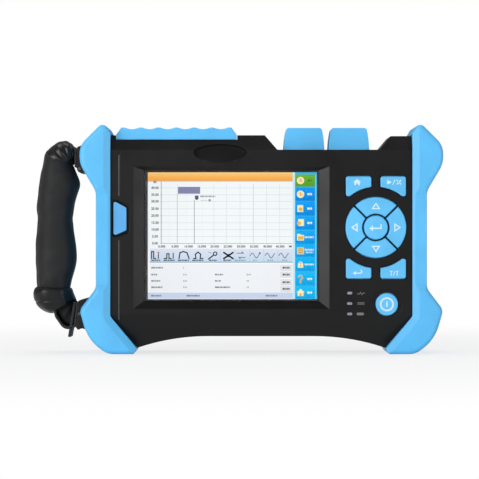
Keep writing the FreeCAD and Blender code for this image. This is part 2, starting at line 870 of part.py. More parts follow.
def stand_loop(grow, foot_half):
    """The kickstand's leg, wide at its hinge."""
    top = s.stand_hinge_z + s.stand_knuckle + grow
    foot = s.stand_hinge_z - s.stand_length - grow
    return [corner(s.stand_x - foot_half - grow, foot, s.door_corner),
            corner(s.stand_x + foot_half + grow, foot, s.door_corner),
            corner(s.stand_x + s.stand_half + grow, s.stand_hinge_z - s.stand_length / 2),
            corner(s.stand_x + s.stand_half + grow, top),
            corner(s.stand_x - s.stand_half - grow, top),
            corner(s.stand_x - s.stand_half - grow, s.stand_hinge_z - s.stand_length / 2)]


def ear_loop(y, z, radius, floor):
    """A hinge ear seen from the side: round on top, straight down to its floor."""
    return [corner(y - radius, floor), corner(y + radius, floor),
            corner(y + radius, z + radius, radius * 0.98), corner(y - radius, z + radius, radius * 0.98)]


COVER_EARS = ((-93.0, -88.0), (-60.5, -55.5), (-28.0, -23.0))


def rear_shell():
    body = make_body("rear_shell")
    add(body, "block", "front", seal_rear, s.rear_face - seal_rear, [outer_loop()])
    cut_bands(body, s.rear_face, s.rear_slope, s.rear_slope, 1)
    cut_port_recess(body, s.parting, s.rear_face)
    remove(body, "cavity", "front", seal_rear - 1, cavity_rear - seal_rear + 1, [cavity_loop()])
    # Battery well, walled inside and open to the back under its door
    add(body, "well_block", "front", well_front(), cavity_rear - well_front() + 1,
        [battery_loop(s.battery_gap + s.battery_wall)])
    remove(body, "door_recess", "front", s.rear_face - s.door_thickness, s.door_thickness + 1,
           [door_loop(s.door_gap)])
    remove(body, "well", "front", well_front() + s.battery_wall, s.rear_face,
           [battery_loop(s.battery_gap)])
    # Kickstand bay
    add(body, "stand_block", "front", s.rear_face - s.stand_recess - 2.4,
        s.stand_recess + 2.4 - 1, [stand_loop(s.stand_gap + s.stand_block, s.stand_foot_half)])
    remove(body, "stand_bay", "front", s.rear_face - s.stand_recess, s.stand_recess + 1,
           [stand_loop(s.stand_gap, s.stand_foot_half)])
    foot = s.stand_hinge_z - s.stand_length
    remove(body, "stand_notch", "front", s.rear_face - s.stand_recess + 1, s.stand_recess,
           [circle(s.stand_x, foot, s.stand_notch)])
    reach = s.stand_half + s.stand_gap + s.stand_pin_reach
    remove(body, "stand_pin_hole", "side", s.stand_x - reach, 2 * reach,
           [circle(s.stand_hinge_y, s.stand_hinge_z, s.stand_pin + s.pin_play / 2)])
    # Bosses for the housing and door screws
    add(body, "screw_bosses", "front", seal_rear, cavity_rear - seal_rear + 0.1,
        [square(place) for place in screw_places(s.screw_boss)])
    remove(body, "screw_heads", "front", s.screw_seat, 10,
           screw_places(s.screw_head + s.door_gap))
    remove(body, "screw_holes", "front", s.parting - 1, 30, screw_places(s.screw_radius + s.pin_play))
    add(body, "door_bosses", "front", cavity_rear - s.door_boss_length, s.door_boss_length + 0.5,
        [square(place) for place in door_screws(s.door_boss)])
    remove(body, "door_screw_holes", "front", cavity_rear - s.door_boss_length + 1, 20,
           door_screws(s.door_screw_radius + s.pin_play))
    # Hinge ears on the roof
    for number, (left, right) in enumerate(COVER_EARS, 1):
        add(body, f"cover_ear_{number}", "side", left, right - left,
            [ear_loop(s.cover_hinge_y, s.cover_hinge_z, s.cover_knuckle, s.port_floor - 0.5)])
    remove(body, "cover_pin_hole", "side", s.cover_left - 2, s.cover_right - s.cover_left + 4,
           [circle(s.cover_hinge_y, s.cover_hinge_z, s.hinge_pin + s.pin_play / 2)])
    for number, x in enumerate(cap_places(), 1):
        knuckle = s.cap_knuckle_width / 2 + s.running_gap
        for side, start in (("left", x - knuckle - s.cap_ear), ("right", x + knuckle)):
            add(body, f"cap_ear_{side}_{number}", "side", start, s.cap_ear,
                [ear_loop(s.cap_hinge_y, s.cap_hinge_z, s.cap_knuckle, s.cap_floor - 0.5)])
    remove(body, "cap_pin_hole", "side", ramp_left_foot, ramp_right_foot - ramp_left_foot,
           [circle(s.cap_hinge_y, s.cap_hinge_z, s.hinge_pin + s.pin_play / 2)])


def housing_seal():
    body = make_body("housing_seal")
    add(body, "ring", "front", s.parting, s.seal_thickness, [outer_loop(s.seal_inset)])
    remove(body, "middle", "front", s.parting - 1, s.seal_thickness + 2, [cavity_loop()])
    cut_port_recess(body, s.parting - 1, s.seal_thickness + 2)


# ---------------------------------------------------------------- corner bumpers

def bumper_loop(side):
    """The bumper from the front: a lobe at each corner joined by a bar."""
    edge = s.bumper_edge
    points = [
        (s.sole_inner, as_size(0), None), (s.sole_outer, as_size(0), s.sole_round),
        (s.sole_outer + s.heel_run, s.heel_rise, s.heel_round),
        (s.half_width, s.foot_crown, s.foot_crown_round),
        (s.bumper_bar, as_size(44.7), 8.0), (s.bumper_bar, as_size(110.6), 12.0),
        (s.half_width, s.lobe_low, s.lobe_low_round), (s.half_width, s.lobe_high, s.lobe_high_round),
        (edge + 4.5, s.bumper_top + 7.8, 3.7), (edge, s.bumper_top, None),
        (edge, as_size(25.6), 4.0), (s.sole_inner - 2.6, as_size(3.6), 2.0)]
    return [corner(side * x, z, None if rounding is None else as_size(rounding))
            for x, z, rounding in points]


def bevel_inner_edge(body, side):
    """Slopes the front down to a thin rim beside the housing's face."""
    top = s.bumper_top + 10
    edge = side * s.bumper_edge
    face = -s.overall_depth / 2
    run = (s.bumper_edge - s.sole_inner + 2.6) / 22.0
    path = draw(body, "bevel_path", "front", 0,
                [[corner(edge, top), corner(edge, 25.6, 4.0),
                  corner(side * (s.sole_inner - 2.6 - run * 6.0), 3.6 - 6.0)]], closed=False)
    tilt = s.bumper_bevel / s.bumper_bevel_depth
    rim = face + s.bumper_bevel_depth
    profile = draw(body, "bevel_profile", "plan", top,
                   [[corner(edge - side * tilt * 0.5, rim + 0.5), corner(edge - side * tilt * 0.5, face - 0.5),
                     corner(edge + side * (s.bumper_bevel + tilt * 0.5), face - 0.5)]])

    def setup(pipe):
        pipe.Spine = path

    cut_feature(body, "PartDesign::SubtractivePipe", "inner_bevel", profile, setup)


def bumper(label, side):
    body = make_body(label)
    half = s.overall_depth / 2
    add(body, "block", "front", -half, s.overall_depth, [bumper_loop(side)])
    edge = s.bumper_edge.number

    def outer(e):
        middle = abs(e.CenterOfMass.x)
        flat = at_y(e, -half) or at_y(e, half)
        return flat and (middle > edge + 1.0 or e.BoundBox.ZMax < 1e-3)

    dress(body, "Fillet", s.bumper_round, outer, "outer_round")
    bevel_inner_edge(body, side)
    relief = s.bar_relief
    for name, face, sense in (("front", -half, -1), ("rear", half, 1)):
        remove(body, f"{name}_relief", "side", -s.half_width - 1, 2 * s.half_width + 2,
               [[corner(face + sense, s.bar_low - s.bar_blend / relief), corner(face, s.bar_low),
                 corner(face - sense * relief, s.bar_low + s.bar_blend),
                 corner(face - sense * relief, s.bar_high - s.bar_blend), corner(face, s.bar_high),
                 corner(face + sense, s.bar_high + s.bar_blend / relief)]])
    # Pocket that takes the housing's edge, with the same slopes front and back
    gap = s.seat_gap
    reach = s.shell_half_width + gap
    rise = s.top_left - s.face_top
    drop = s.face_bottom - s.foot_level
    full = s.face_bottom - s.arch_height
    pocket = [corner(front - gap, s.face_bottom), corner(front - gap, s.face_top),
              corner(front - gap + s.top_slope, s.face_top + rise + gap),
              corner(s.rear_face + gap - s.rear_slope, s.face_top + rise + gap),
              corner(s.rear_face + gap, s.face_top), corner(s.rear_face + gap, s.face_bottom),
              corner(s.rear_face + gap - s.rear_slope * drop / full, s.foot_level - gap),
              corner(front - gap + s.bottom_slope * drop / full, s.foot_level - gap)]
    remove(body, "housing_pocket", "side", 0 if side > 0 else -reach, reach, [pocket])


# ---------------------------------------------------------------- display and boards

def panel(label, lap, start, thickness):
    body = make_body(label)
    half_x, half_z = s.opening_width / 2 + lap, s.opening_height / 2 + lap
    add(body, "plate", "front", start, thickness,
        [box(s.screen_x - half_x, s.screen_x + half_x, s.screen_z - half_z, s.screen_z + half_z)])
    return body


def lcd_bracket():
    """A pressed frame over the back of the module, its ears on the four posts."""
    body = panel("lcd_bracket", s.lcd_lap, cavity_front + s.lcd_thickness, s.bracket_thickness)
    left, right = post_columns()
    add(body, "ears", "front", cavity_front + s.lcd_thickness, s.bracket_thickness,
        [box(left - s.post_radius, right + s.post_radius,
             s.screen_z + z - s.post_radius, s.screen_z + z + s.post_radius)
         for z in (-s.bracket_post_rise, s.bracket_post_rise)])
    half_x = s.opening_width / 2 - s.bracket_window
    half_z = s.opening_height / 2 - s.bracket_window
    remove(body, "window", "front", cavity_front, s.front_face,
           [box(s.screen_x - half_x, s.screen_x + half_x, s.screen_z - half_z, s.screen_z + half_z)])


def main_board():
    body = make_body("main_board")
    upper = s.port_floor - s.wall - s.board_drop
    lower = s.cap_floor - s.wall - s.board_drop
    step = ramp_left_top - s.wall - s.board_step
    add(body, "plate", "front", s.board_plane, s.board_thickness,
        [[corner(-s.board_side, s.board_low), corner(s.board_side, s.board_low),
          corner(s.board_side, lower), corner(step, lower), corner(step, upper),
          corner(-s.board_side, upper)]])


def key_centres():
    """The middle of each key, where its stem and switch sit."""
    arrow = (s.pad_radius + s.ring_radius) / 2
    across = (s.corner_near + s.corner_far) / 2
    up = (s.corner_outer + s.corner_inner) / 2 + 1.5
    centres = {"key_enter": (s.pad_x, s.pad_z), "key_power": (s.power_x, s.power_z),
               "key_up": (s.pad_x, s.pad_z + arrow), "key_down": (s.pad_x, s.pad_z - arrow),
               "key_right": (s.pad_x + arrow, s.pad_z), "key_left": (s.pad_x - arrow, s.pad_z)}
    for label, (side, level) in CORNER_KEYS.items():
        centres[label] = (s.pad_x + side * across, s.pad_z + level * up)
    return centres


def keypad_board():
    body = make_body("keypad_board")
    add(body, "plate", "front", keyboard_plane(), s.keyboard_thickness,
        [box(well_left - s.ledge_gap - s.ledge_width, board_right,
             s.well_low + 1, s.well_high + 2)])


def key_switches():
    body = make_body("key_switches")
    half = s.switch_size / 2
    squares = [box(x - half, x + half, z - half, z + half) for x, z in key_centres().values()]
    buttons = [square(circle(x, z, s.stem_radius * 0.6)) for x, z in key_centres().values()]
    case = keyboard_plane() - s.switch_height
    add(body, "cases", "front", case, s.switch_height, squares)
    add(body, "buttons", "front", case - s.switch_button, s.switch_button, buttons)


def board_spacers():
    body = make_body("board_spacers")
    start = keyboard_plane() + s.keyboard_thickness
    add(body, "posts", "front", start, s.board_plane - start,
        [circle(s.board_side - s.post_radius - 1, z, s.post_radius) for z in (50, 112)])


def otdr_module():
    body = make_body("otdr_module")
    rear = s.board_plane + s.board_thickness
    add(body, "case", "front", rear, s.otdr_thickness,
        [box(s.otdr_left, s.otdr_left + s.otdr_width, s.otdr_low, s.otdr_low + s.otdr_height, 1.5)])
    remove(body, "lid_line", "front", rear + s.otdr_thickness - 1, 2,
           [box(s.otdr_left + 4, s.otdr_left + s.otdr_width - 4,
                s.otdr_low + 4, s.otdr_low + s.otdr_height - 4, 1.0)])


def sounder():
    body = make_body("sounder")
    place = (-s.board_side + 12, s.board_low + 12)
    rear = s.board_plane + s.board_thickness
    add(body, "case", "front", rear, s.sounder_height, [circle(*place, s.sounder_radius)])
    remove(body, "port", "front", rear + 1, s.sounder_height, [circle(*place, s.ferrule_bore)])


# ---------------------------------------------------------------- keys

def finish_key(body, outline, flange, stem):
    """Crown through the opening, flange behind the wall, stem over the switch."""
    wall_back = front + s.key_wall + s.running_gap
    crown_front = front - s.key_proud
    add(body, "crown", "front", crown_front, wall_back + s.key_flange - crown_front, [outline])
    if isinstance(outline, list):
        crown = body.Tip.Shape
        dress(body, "Fillet", s.key_edge, lambda e: sharp_upright(crown, e), "crown_corners")
    if flange is not None:
        add(body, "flange", "front", wall_back, s.key_flange, [flange])
    add(body, "stem", "front", wall_back + s.key_flange, s.stem_length,
        [circle(*stem, s.stem_radius)])
    dress(body, "Fillet", s.key_edge, lambda e: at_y(e, crown_front), "crown_edge")


def sharp_upright(shape, edge):
    """An edge along Y where two faces of the outline meet at an angle."""
    if edge.BoundBox.XLength > 1e-6 or edge.BoundBox.ZLength > 1e-6:
        return False
    spot = edge.CenterOfMass
    normals = [face.normalAt(*face.Surface.parameter(spot))
               for face in shape.ancestorsOfType(edge, Part.Face)]
    return normals[0].getAngle(normals[1]) > 0.1


def sector_loop(outer_radius, inner_radius, half_gap):
    """A quarter of the round pad, pointing up, with its sides along the diagonals."""
    slant = math.sqrt(0.5)
    outer = root(outer_radius * outer_radius - half_gap * half_gap)
    inner = root(inner_radius * inner_radius - half_gap * half_gap)
    return [corner((inner - half_gap) * slant, (inner + half_gap) * slant),
            corner((outer - half_gap) * slant, (outer + half_gap) * slant, bow=outer_radius),
            corner((half_gap - outer) * slant, (outer + half_gap) * slant),
            corner((half_gap - inner) * slant, (inner + half_gap) * slant, bow=-inner_radius)]


def arrow_key(label, turn):
    body = make_body(label, (s.pad_x, s.pad_z), turn)
    finish_key(body, sector_loop(s.pad_radius, s.ring_radius, s.pad_gap / 2),
               sector_loop(s.pad_radius + s.key_gap + s.key_flange, s.pad_radius - 2, s.pad_gap / 2),
               (0, (s.pad_radius + s.ring_radius) / 2))


def corner_key(label, side, level):
    body = make_body(label, (s.pad_x, s.pad_z))
    across = side * (s.corner_near + s.corner_far) / 2
    up = level * ((s.corner_outer + s.corner_inner) / 2 + 1.5)
    outer = s.corner_outer + s.key_gap + s.key_flange
    lip = [corner(side * (s.corner_near + 1), level * (s.corner_outer - 3)),
           corner(side * (s.corner_far - 1), level * (s.corner_outer - 3)),
           corner(side * (s.corner_far - 1), level * outer),
           corner(side * (s.corner_near + 1), level * outer)]
    finish_key(body, corner_key_loop(side, level, as_size(0)), lip, (across, up))


def enter_key():
    body = make_body("key_enter", (s.pad_x, s.pad_z))
    finish_key(body, circle(0, 0, s.enter_radius), circle(0, 0, s.enter_radius + s.enter_lip), (0, 0))


def power_key():
    body = make_body("key_power", (s.power_x, s.power_z))
    finish_key(body, circle(0, 0, s.power_radius),
               circle(0, 0, s.power_radius + s.key_gap + s.key_flange), (0, 0))


def status_light_pipes():
    body = make_body("status_light_pipes")
    add(body, "pipes", "front", front - 0.3, keyboard_plane() - front - 0.1, lights(as_size(0)))


# ---------------------------------------------------------------- covers and ports

def port_cover():
    body = make_body("port_cover")
    floor = s.port_floor + s.seat_gap
    first = s.cover_left + s.cover_end_crest
    last = s.cover_right - s.cover_end_crest
    pitch = (last - first - s.cover_crest_flat) / 6
    flat = s.cover_crest_flat
    loop = [corner(s.cover_left, floor), corner(s.cover_right, floor),
            corner(s.cover_right, s.cover_shoulder), corner(last, s.cover_crest)]
    for n in range(6):
        loop.append(corner(last - flat - pitch * n, s.cover_crest, bow=-s.cover_scallop))
        loop.append(corner(last - pitch * (n + 1), s.cover_crest))
    loop += [corner(first, s.cover_crest), corner(s.cover_left, s.cover_shoulder)]
    add(body, "ribbed_lid", "front", s.cover_front, s.cover_rear - s.cover_front, [loop])
    for number, (left, right) in enumerate(zip(COVER_EARS, COVER_EARS[1:]), 1):
        start, end = left[1] + s.running_gap, right[0] - s.running_gap
        low = s.cover_hinge_z - s.cover_knuckle
        add(body, f"knuckle_{number}", "side", start, end - start,
            [[corner(s.cover_rear - 1, low), corner(s.cover_hinge_y + s.cover_knuckle, low,
                                                    s.cover_knuckle * 0.98),
              corner(s.cover_hinge_y + s.cover_knuckle, s.cover_hinge_z + s.cover_knuckle,
                     s.cover_knuckle * 0.98),
              corner(s.cover_rear - 1, s.cover_hinge_z + s.cover_knuckle)]])
    remove(body, "pin_hole", "side", s.cover_left, s.cover_right - s.cover_left,
           [circle(s.cover_hinge_y, s.cover_hinge_z, s.hinge_pin + s.pin_play)])
    dress(body, "Chamfer", s.cover_edge, lambda e: at_y(e, s.cover_front) and
          e.BoundBox.ZMin > s.cover_shoulder.number - 1e-3, "front_edge")


def port_cap(label, x):
    """A moulded cap: a solid rubber block hollowed only for the adapter's nose."""
    body = make_body(label, (x, 0))
    floor = s.cap_floor + s.seat_gap
    base, top = s.cap_base / 2, s.cap_top_width / 2
    add(body, "block", "front", s.cap_front, s.cap_rear - s.cap_front,
        [[corner(-base, floor), corner(base, floor, bow=s.cap_side_bow),
          corner(top, s.cap_top), corner(-top, s.cap_top, bow=s.cap_side_bow)]])
    low = s.cap_hinge_z - s.cap_knuckle
    rounding = s.cap_knuckle * 0.98
    half = s.cap_knuckle_width / 2
    add(body, "knuckle", "side", -half, s.cap_knuckle_width,
        [[corner(s.cap_rear - 1, low), corner(s.cap_hinge_y + s.cap_knuckle, low, rounding),
          corner(s.cap_hinge_y + s.cap_knuckle, s.cap_hinge_z + s.cap_knuckle, rounding),
          corner(s.cap_rear - 1, s.cap_hinge_z + s.cap_knuckle)]])
    remove(body, "pin_hole", "side", -half - 1, s.cap_knuckle_width + 2,
           [circle(s.cap_hinge_y, s.cap_hinge_z, s.hinge_pin + s.pin_play)])
    remove(body, "nose_pocket", "plan", floor - 1, s.adapter_height + s.cap_nose_gap + 1,
           [circle(0, s.adapter_y, s.cap_bore)])
    half_x, half_y = s.adapter_flange_x / 2 + 1, s.adapter_flange_y / 2 + 1.5
    remove(body, "flange_pocket", "plan", floor - 1, s.adapter_flange + 1.6,
           [box(-half_x, half_x, s.adapter_y - half_y, s.adapter_y + half_y, 1.0)])
    dress(body, "Fillet", s.cap_corner, lambda e: e.BoundBox.ZMin > s.cap_top.number - 1e-3
          and e.CenterOfMass.y < s.cap_rear.number - 1, "top_edge")


def hinge_pin(label, y, z, start, length, radius):
    body = make_body(label)
    add(body, "rod", "side", start, length, [circle(y, z, radius)])


def adapter(label, x):
    """A threaded ferrule adapter: square flange, round nose and a tail inside the roof."""
    body = make_body(label, (x, 0))
    half_x, half_y = s.adapter_flange_x / 2, s.adapter_flange_y / 2
    add(body, "flange", "plan", s.cap_floor, s.adapter_flange,
        [box(-half_x, half_x, s.adapter_y - half_y, s.adapter_y + half_y, 1.0)])
    add(body, "nose", "plan", s.cap_floor + s.adapter_flange, s.adapter_height - s.adapter_flange,
        [circle(0, s.adapter_y, s.adapter_barrel)])
    add(body, "tail", "plan", s.cap_floor - s.adapter_tail_length, s.adapter_tail_length,
        [circle(0, s.adapter_y, s.adapter_tail)])
    remove(body, "ferrule_sleeve", "plan", s.cap_floor + s.adapter_height - s.ferrule_depth,
           s.ferrule_depth + 1, [circle(0, s.adapter_y, s.ferrule_bore)])


def socket_block(label, cavity, tongue):
    """A socket standing on the main board, open at the top."""
    body = make_body(label)
    top = s.port_floor - s.socket_sink
    add(body, "case", "plan", top - s.socket_depth, s.socket_depth,
        [socket_places(as_size(0))[label]])
    remove(body, "cavity", "plan", top - s.socket_depth + 3, s.socket_depth, cavity)
    if tongue:
        add(body, "tongue", "plan", top - s.socket_depth + 2.5, s.socket_depth - 4.5, tongue)


def sockets():
    rear = s.board_plane + s.board_thickness
    for label, (x, width, depth) in SOCKETS.items():
        middle = rear + depth / 2
        if label == "dc_jack":
            socket_block(label, [circle(x, middle, 2.75)], [circle(x, middle, 1.0)])
            continue
        half_x, half_y = width / 2 - 0.5, depth / 2 - 0.5
        cavity = [box(x - half_x, x + half_x, middle - half_y, middle + half_y)]
        blade_x, blade_y = half_x - 0.8, half_y / 2.6
        tongue = [box(x - blade_x, x + blade_x, middle - blade_y, middle + blade_y)]
        socket_block(label, cavity, None if label == "card_slot" else tongue)


def badge_insert():
    body = make_body("badge_insert")
    add(body, "plate", "front", front + s.badge_depth - s.badge_thickness, s.badge_thickness,
        [badge_loop(as_size(0))])


# ---------------------------------------------------------------- back of the housing

def battery_pack():
    body = make_body("battery_pack")
    add(body, "cells", "front", well_front() + s.battery_wall, s.battery_depth,
        [battery_loop(as_size(0))])


def battery_door():
    body = make_body("battery_door")
    start = s.rear_face - s.door_thickness
    add(body, "plate", "front", start, s.door_thickness, [door_loop(as_size(0))])
    remove(body, "screw_seats", "front", s.rear_face - 1.5, 2, door_screws(s.door_screw_head + 0.2))
    remove(body, "screw_holes", "front", start - 1, 4, door_screws(s.door_screw_radius + s.pin_play))
    steps = [s.battery_z + 6.5 * n for n in (-2, -1, 0, 1, 2)]
    remove(body, "grip_grooves", "front", s.rear_face - 0.6, 2,
           [box(s.battery_x - 20, s.battery_x + 20, z - 0.9, z + 0.9) for z in steps])


def screws(label, places, head, head_height, shank, length, seat):
    """Pan-head screws driven from the back, each a solid of its own."""
    body = make_body(label)
    add(body, "heads", "front", seat, head_height, places(head))
    add(body, "shanks", "front", seat - length, length, places(shank))
    remove(body, "sockets", "front", seat + head_height - 1.0, 2,
           [hexagon(place) for place in places(head / 2.6)])


def kickstand():
    body = make_body("kickstand")
    near = s.stand_hinge_y - s.stand_knuckle
    hinge, half = s.stand_hinge_z, s.stand_half
    leg = stand_loop(as_size(0), s.stand_foot_half)
    leg[3] = corner(s.stand_x + half, hinge)
    leg[4] = corner(s.stand_x - half, hinge)
    add(body, "leg", "front", near, s.stand_thickness, [leg])
    rail = s.stand_rail
    foot = hinge - s.stand_length
    remove(body, "window", "front", near - 1, s.stand_thickness + 2,
           [[corner(s.stand_x - s.stand_foot_half + rail / 2, foot + rail + 2, 3.0),
             corner(s.stand_x + s.stand_foot_half - rail / 2, foot + rail + 2, 3.0),
             corner(s.stand_x + half - rail, hinge - s.stand_length / 2, 3.0),
             corner(s.stand_x + half - rail, hinge - rail, 3.0),
             corner(s.stand_x - half + rail, hinge - rail, 3.0),
             corner(s.stand_x - half + rail, hinge - s.stand_length / 2, 3.0)]])
    add(body, "knuckle", "side", s.stand_x - half, 2 * half,
        [circle(s.stand_hinge_y, hinge, s.stand_knuckle)])
    remove(body, "pin_hole", "side", s.stand_x - half - 1, 2 * half + 2,
           [circle(s.stand_hinge_y, hinge, s.stand_pin + s.pin_play)])


# ---------------------------------------------------------------- hand strap

def web_path():
    """The webbing's middle line: up the hook, over, down the grip and round to the bar."""
    return [corner(s.web_hook, 127.6), corner(s.web_hook, s.web_top, 3.2),
            corner(s.web_centre + 2.6, s.web_top - 2.2, 5.0), corner(s.web_centre, 122.0, 12.0),
            corner(s.web_centre, 42.0, 12.0), corner(s.web_centre + 3.2, 31.0, 7.0),
            corner(s.web_hook - 0.9, 24.2)]


def web_sweep(body, kind, name, thickness, width):
    path = draw(body, f"{name}_path", "front", 0, [web_path()], closed=False)
    half_x, half_y = thickness / 2, width / 2
    profile = draw(body, f"{name}_profile", "plan", 127.6,
                   [box(s.web_hook - half_x, s.web_hook + half_x, -half_y, half_y)])
    pipe = body.newObject(f"PartDesign::{kind}", f"{body.Label}_{name}")
    pipe.Profile = profile
    pipe.Spine = path
    settle(body, pipe)


def strap_webbing():
    body = make_body("strap_webbing")
    web_sweep(body, "AdditivePipe", "band", s.web_thickness, s.web_width)
    left, right = s.web_hook - 2.9, s.web_hook - 0.1
    add(body, "tail", "front", -s.web_width / 2, s.web_width,
        [[corner(left, 11.9), corner(right - 0.5, 12.3), corner(right + 0.6, 35.6), corner(left + 1.1, 35.2)]])


def strap_anchor_upper():
    body = make_body("strap_anchor_upper")
    gap = s.anchor_gap
    face = -s.half_width - gap
    # The plate follows the lobe's rounding a little way up to its nose
    radius = s.lobe_high_round + gap
    centre_z = s.lobe_high - s.lobe_high_round * s.lobe_turn
    nose = (face + radius - root(radius * radius - s.anchor_nose * s.anchor_nose),
            centre_z + s.anchor_nose)
    add(body, "plate", "front", -s.anchor_width / 2, s.anchor_width,
        [[corner(*nose),
          corner(s.web_hook + s.web_thickness / 2 + 0.15, 141.4, 1.0),
          corner(s.web_hook + s.web_thickness / 2 + 0.15, 127.2, 3.0), corner(-124.2, 123.2, 1.6),
          corner(-120.7, 123.6), corner(face, s.lobe_low - gap, s.lobe_low_round + gap),
          corner(face, centre_z, bow=-radius)]])
    remove(body, "bar_hole", "front", -s.anchor_width, 2 * s.anchor_width,
           [circle(s.bar_upper_x, s.bar_upper_z, s.bar_radius + 0.05)])


def strap_anchor_lower():
    body = make_body("strap_anchor_lower")
    gap = s.anchor_gap
    outer = s.web_hook + 0.55
    slope = (s.half_width - s.sole_outer - s.heel_run) / (s.foot_crown - s.heel_rise)
    add(body, "plate", "front", -s.anchor_width / 2, s.anchor_width,
        [[corner(-118.2 - 1.4 * gap, 38.0), corner(outer + 1.4, 36.0, 1.0),
          corner(outer + 0.3, 15.2, 1.0), corner(-123.0, 17.2, 3.0),
          corner(-s.sole_outer - s.heel_run - slope * 6.2 - 1.1 * gap, s.heel_rise + 6.2),
          corner(-s.half_width - 1.2 * gap, s.foot_crown, s.foot_crown_round)]])
    remove(body, "bar_hole", "front", -s.anchor_width, 2 * s.anchor_width,
           [circle(s.bar_lower_x, s.bar_lower_z, s.bar_radius + 0.05)])


def strap_bars():
    body = make_body("strap_bars")
    add(body, "bars", "front", -s.anchor_width / 2 - 0.8, s.anchor_width + 1.6,
        [circle(s.bar_upper_x, s.bar_upper_z, s.bar_radius),
         circle(s.bar_lower_x, s.bar_lower_z, s.bar_radius)])


# Sections up the grip: height, middle and half width of the padded tube
GRIP_SECTIONS = ((29.0, -139.3, 7.5, 0.62), (34.0, -141.0, 11.0, 0.84), (46.0, -141.0, 12.8, 0.97),
                 (66.0, -139.6, 14.4, 1.0), (86.0, -139.8, 12.9, 0.96), (102.0, -139.1, 13.5, 0.98),
                 (114.0, -137.0, 14.0, 1.0), (126.0, -138.4, 11.0, 0.95), (137.0, -137.0, 8.9, 0.84),
                 (144.0, -134.0, 5.4, 0.66))


def hand_strap_grip():
    body = make_body("hand_strap_grip")
    sections = []
    for number, (height, middle, half_x, share) in enumerate(GRIP_SECTIONS, 1):
        half_y = s.grip_depth / 2 * share
        cut = half_x * 0.55
        loop = [corner(middle - half_x, cut - half_y), corner(middle - half_x + cut, -half_y),
                corner(middle + half_x - cut, -half_y), corner(middle + half_x, cut - half_y),
                corner(middle + half_x, half_y - cut), corner(middle + half_x - cut, half_y),
                corner(middle - half_x + cut, half_y), corner(middle - half_x, half_y - cut)]
        sections.append(draw(body, f"section_{number}", "plan", height, [loop]))
    loft = body.newObject("PartDesign::AdditiveLoft", "hand_strap_grip_pad")
    loft.Profile = sections[0]
    loft.Sections = sections[1:]
    loft.Ruled = True
    settle(body, loft)
    gap = s.grip_gap
    web_sweep(body, "SubtractivePipe", "slot", s.web_thickness + 2 * gap, s.web_width + 2 * gap)


# ---------------------------------------------------------------- assembly

def build():
    front_shell()
    rear_shell()
    housing_seal()
    bumper("left_bumper", -1)
    bumper("right_bumper", 1)
    panel("display_window", s.lens_lap, front + s.lens_depth, s.lens_thickness)
    panel("lcd_module", s.lcd_lap, cavity_front, s.lcd_thickness)
    lcd_bracket()
    main_board()
    keypad_board()
    key_switches()
    board_spacers()
    otdr_module()
    sounder()
    enter_key()
    power_key()
    for label, turn in (("key_up", 0), ("key_right", 90), ("key_down", 180), ("key_left", 270)):
        arrow_key(label, turn)
    for label, (side, level) in CORNER_KEYS.items():
        corner_key(label, side, level)
    status_light_pipes()
    badge_insert()
    port_cover()
    hinge_pin("port_cover_pin", s.cover_hinge_y, s.cover_hinge_z, COVER_EARS[0][0],
              COVER_EARS[-1][1] - COVER_EARS[0][0], s.hinge_pin)
    for name, x in zip(("otdr", "vfl"), cap_places()):
        port_cap(f"{name}_cap", x)
        reach = s.cap_knuckle_width / 2 + s.running_gap + s.cap_ear
        hinge_pin(f"{name}_cap_pin", s.cap_hinge_y, s.cap_hinge_z, x - reach, 2 * reach, s.hinge_pin)
        adapter(f"{name}_adapter", x)
    sockets()
    battery_pack()
    battery_door()
    screws("battery_door_screws", door_screws, s.door_screw_head, 1.3, s.door_screw_radius, 7.0,
           s.rear_face - 1.5)
    screws("housing_screws", screw_places, s.screw_head, s.screw_head_height, s.screw_radius,
           s.screw_length, s.screw_seat)
    kickstand()
    reach = s.stand_half + s.stand_gap + s.stand_pin_reach
    hinge_pin("kickstand_pin", s.stand_hinge_y, s.stand_hinge_z, s.stand_x - reach, 2 * reach,
              s.stand_pin)
    strap_webbing()
    strap_anchor_upper()
    strap_anchor_lower()
    strap_bars()
    hand_strap_grip()


def export():
    doc.recompute()
    bodies = [item for item in doc.Objects if item.TypeId == "PartDesign::Body"]
    for item in doc.Objects:
        if "Invalid" in item.State or "Error" in item.State:
            raise RuntimeError(f"{item.Name} is not well: {item.State}")
    for body in bodies:
        if body.Shape.isNull() or not body.Shape.isValid():
            raise RuntimeError(f"{body.Label} has no valid shape")
    os.makedirs("parts", exist_ok=True)
    for body in bodies:
        body.Shape.exportStep(f"parts/{body.Label}.step")
    print(len(bodies), "sub-parts written")


build()
export()
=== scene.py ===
"""Optical time domain reflectometer: finishes, display picture, key symbols, padded grip and strap,
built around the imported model.  Metres, +Z up, the face looks along -Y."""

import json
import math

import bmesh
import bpy
from mathutils import Matrix, Vector


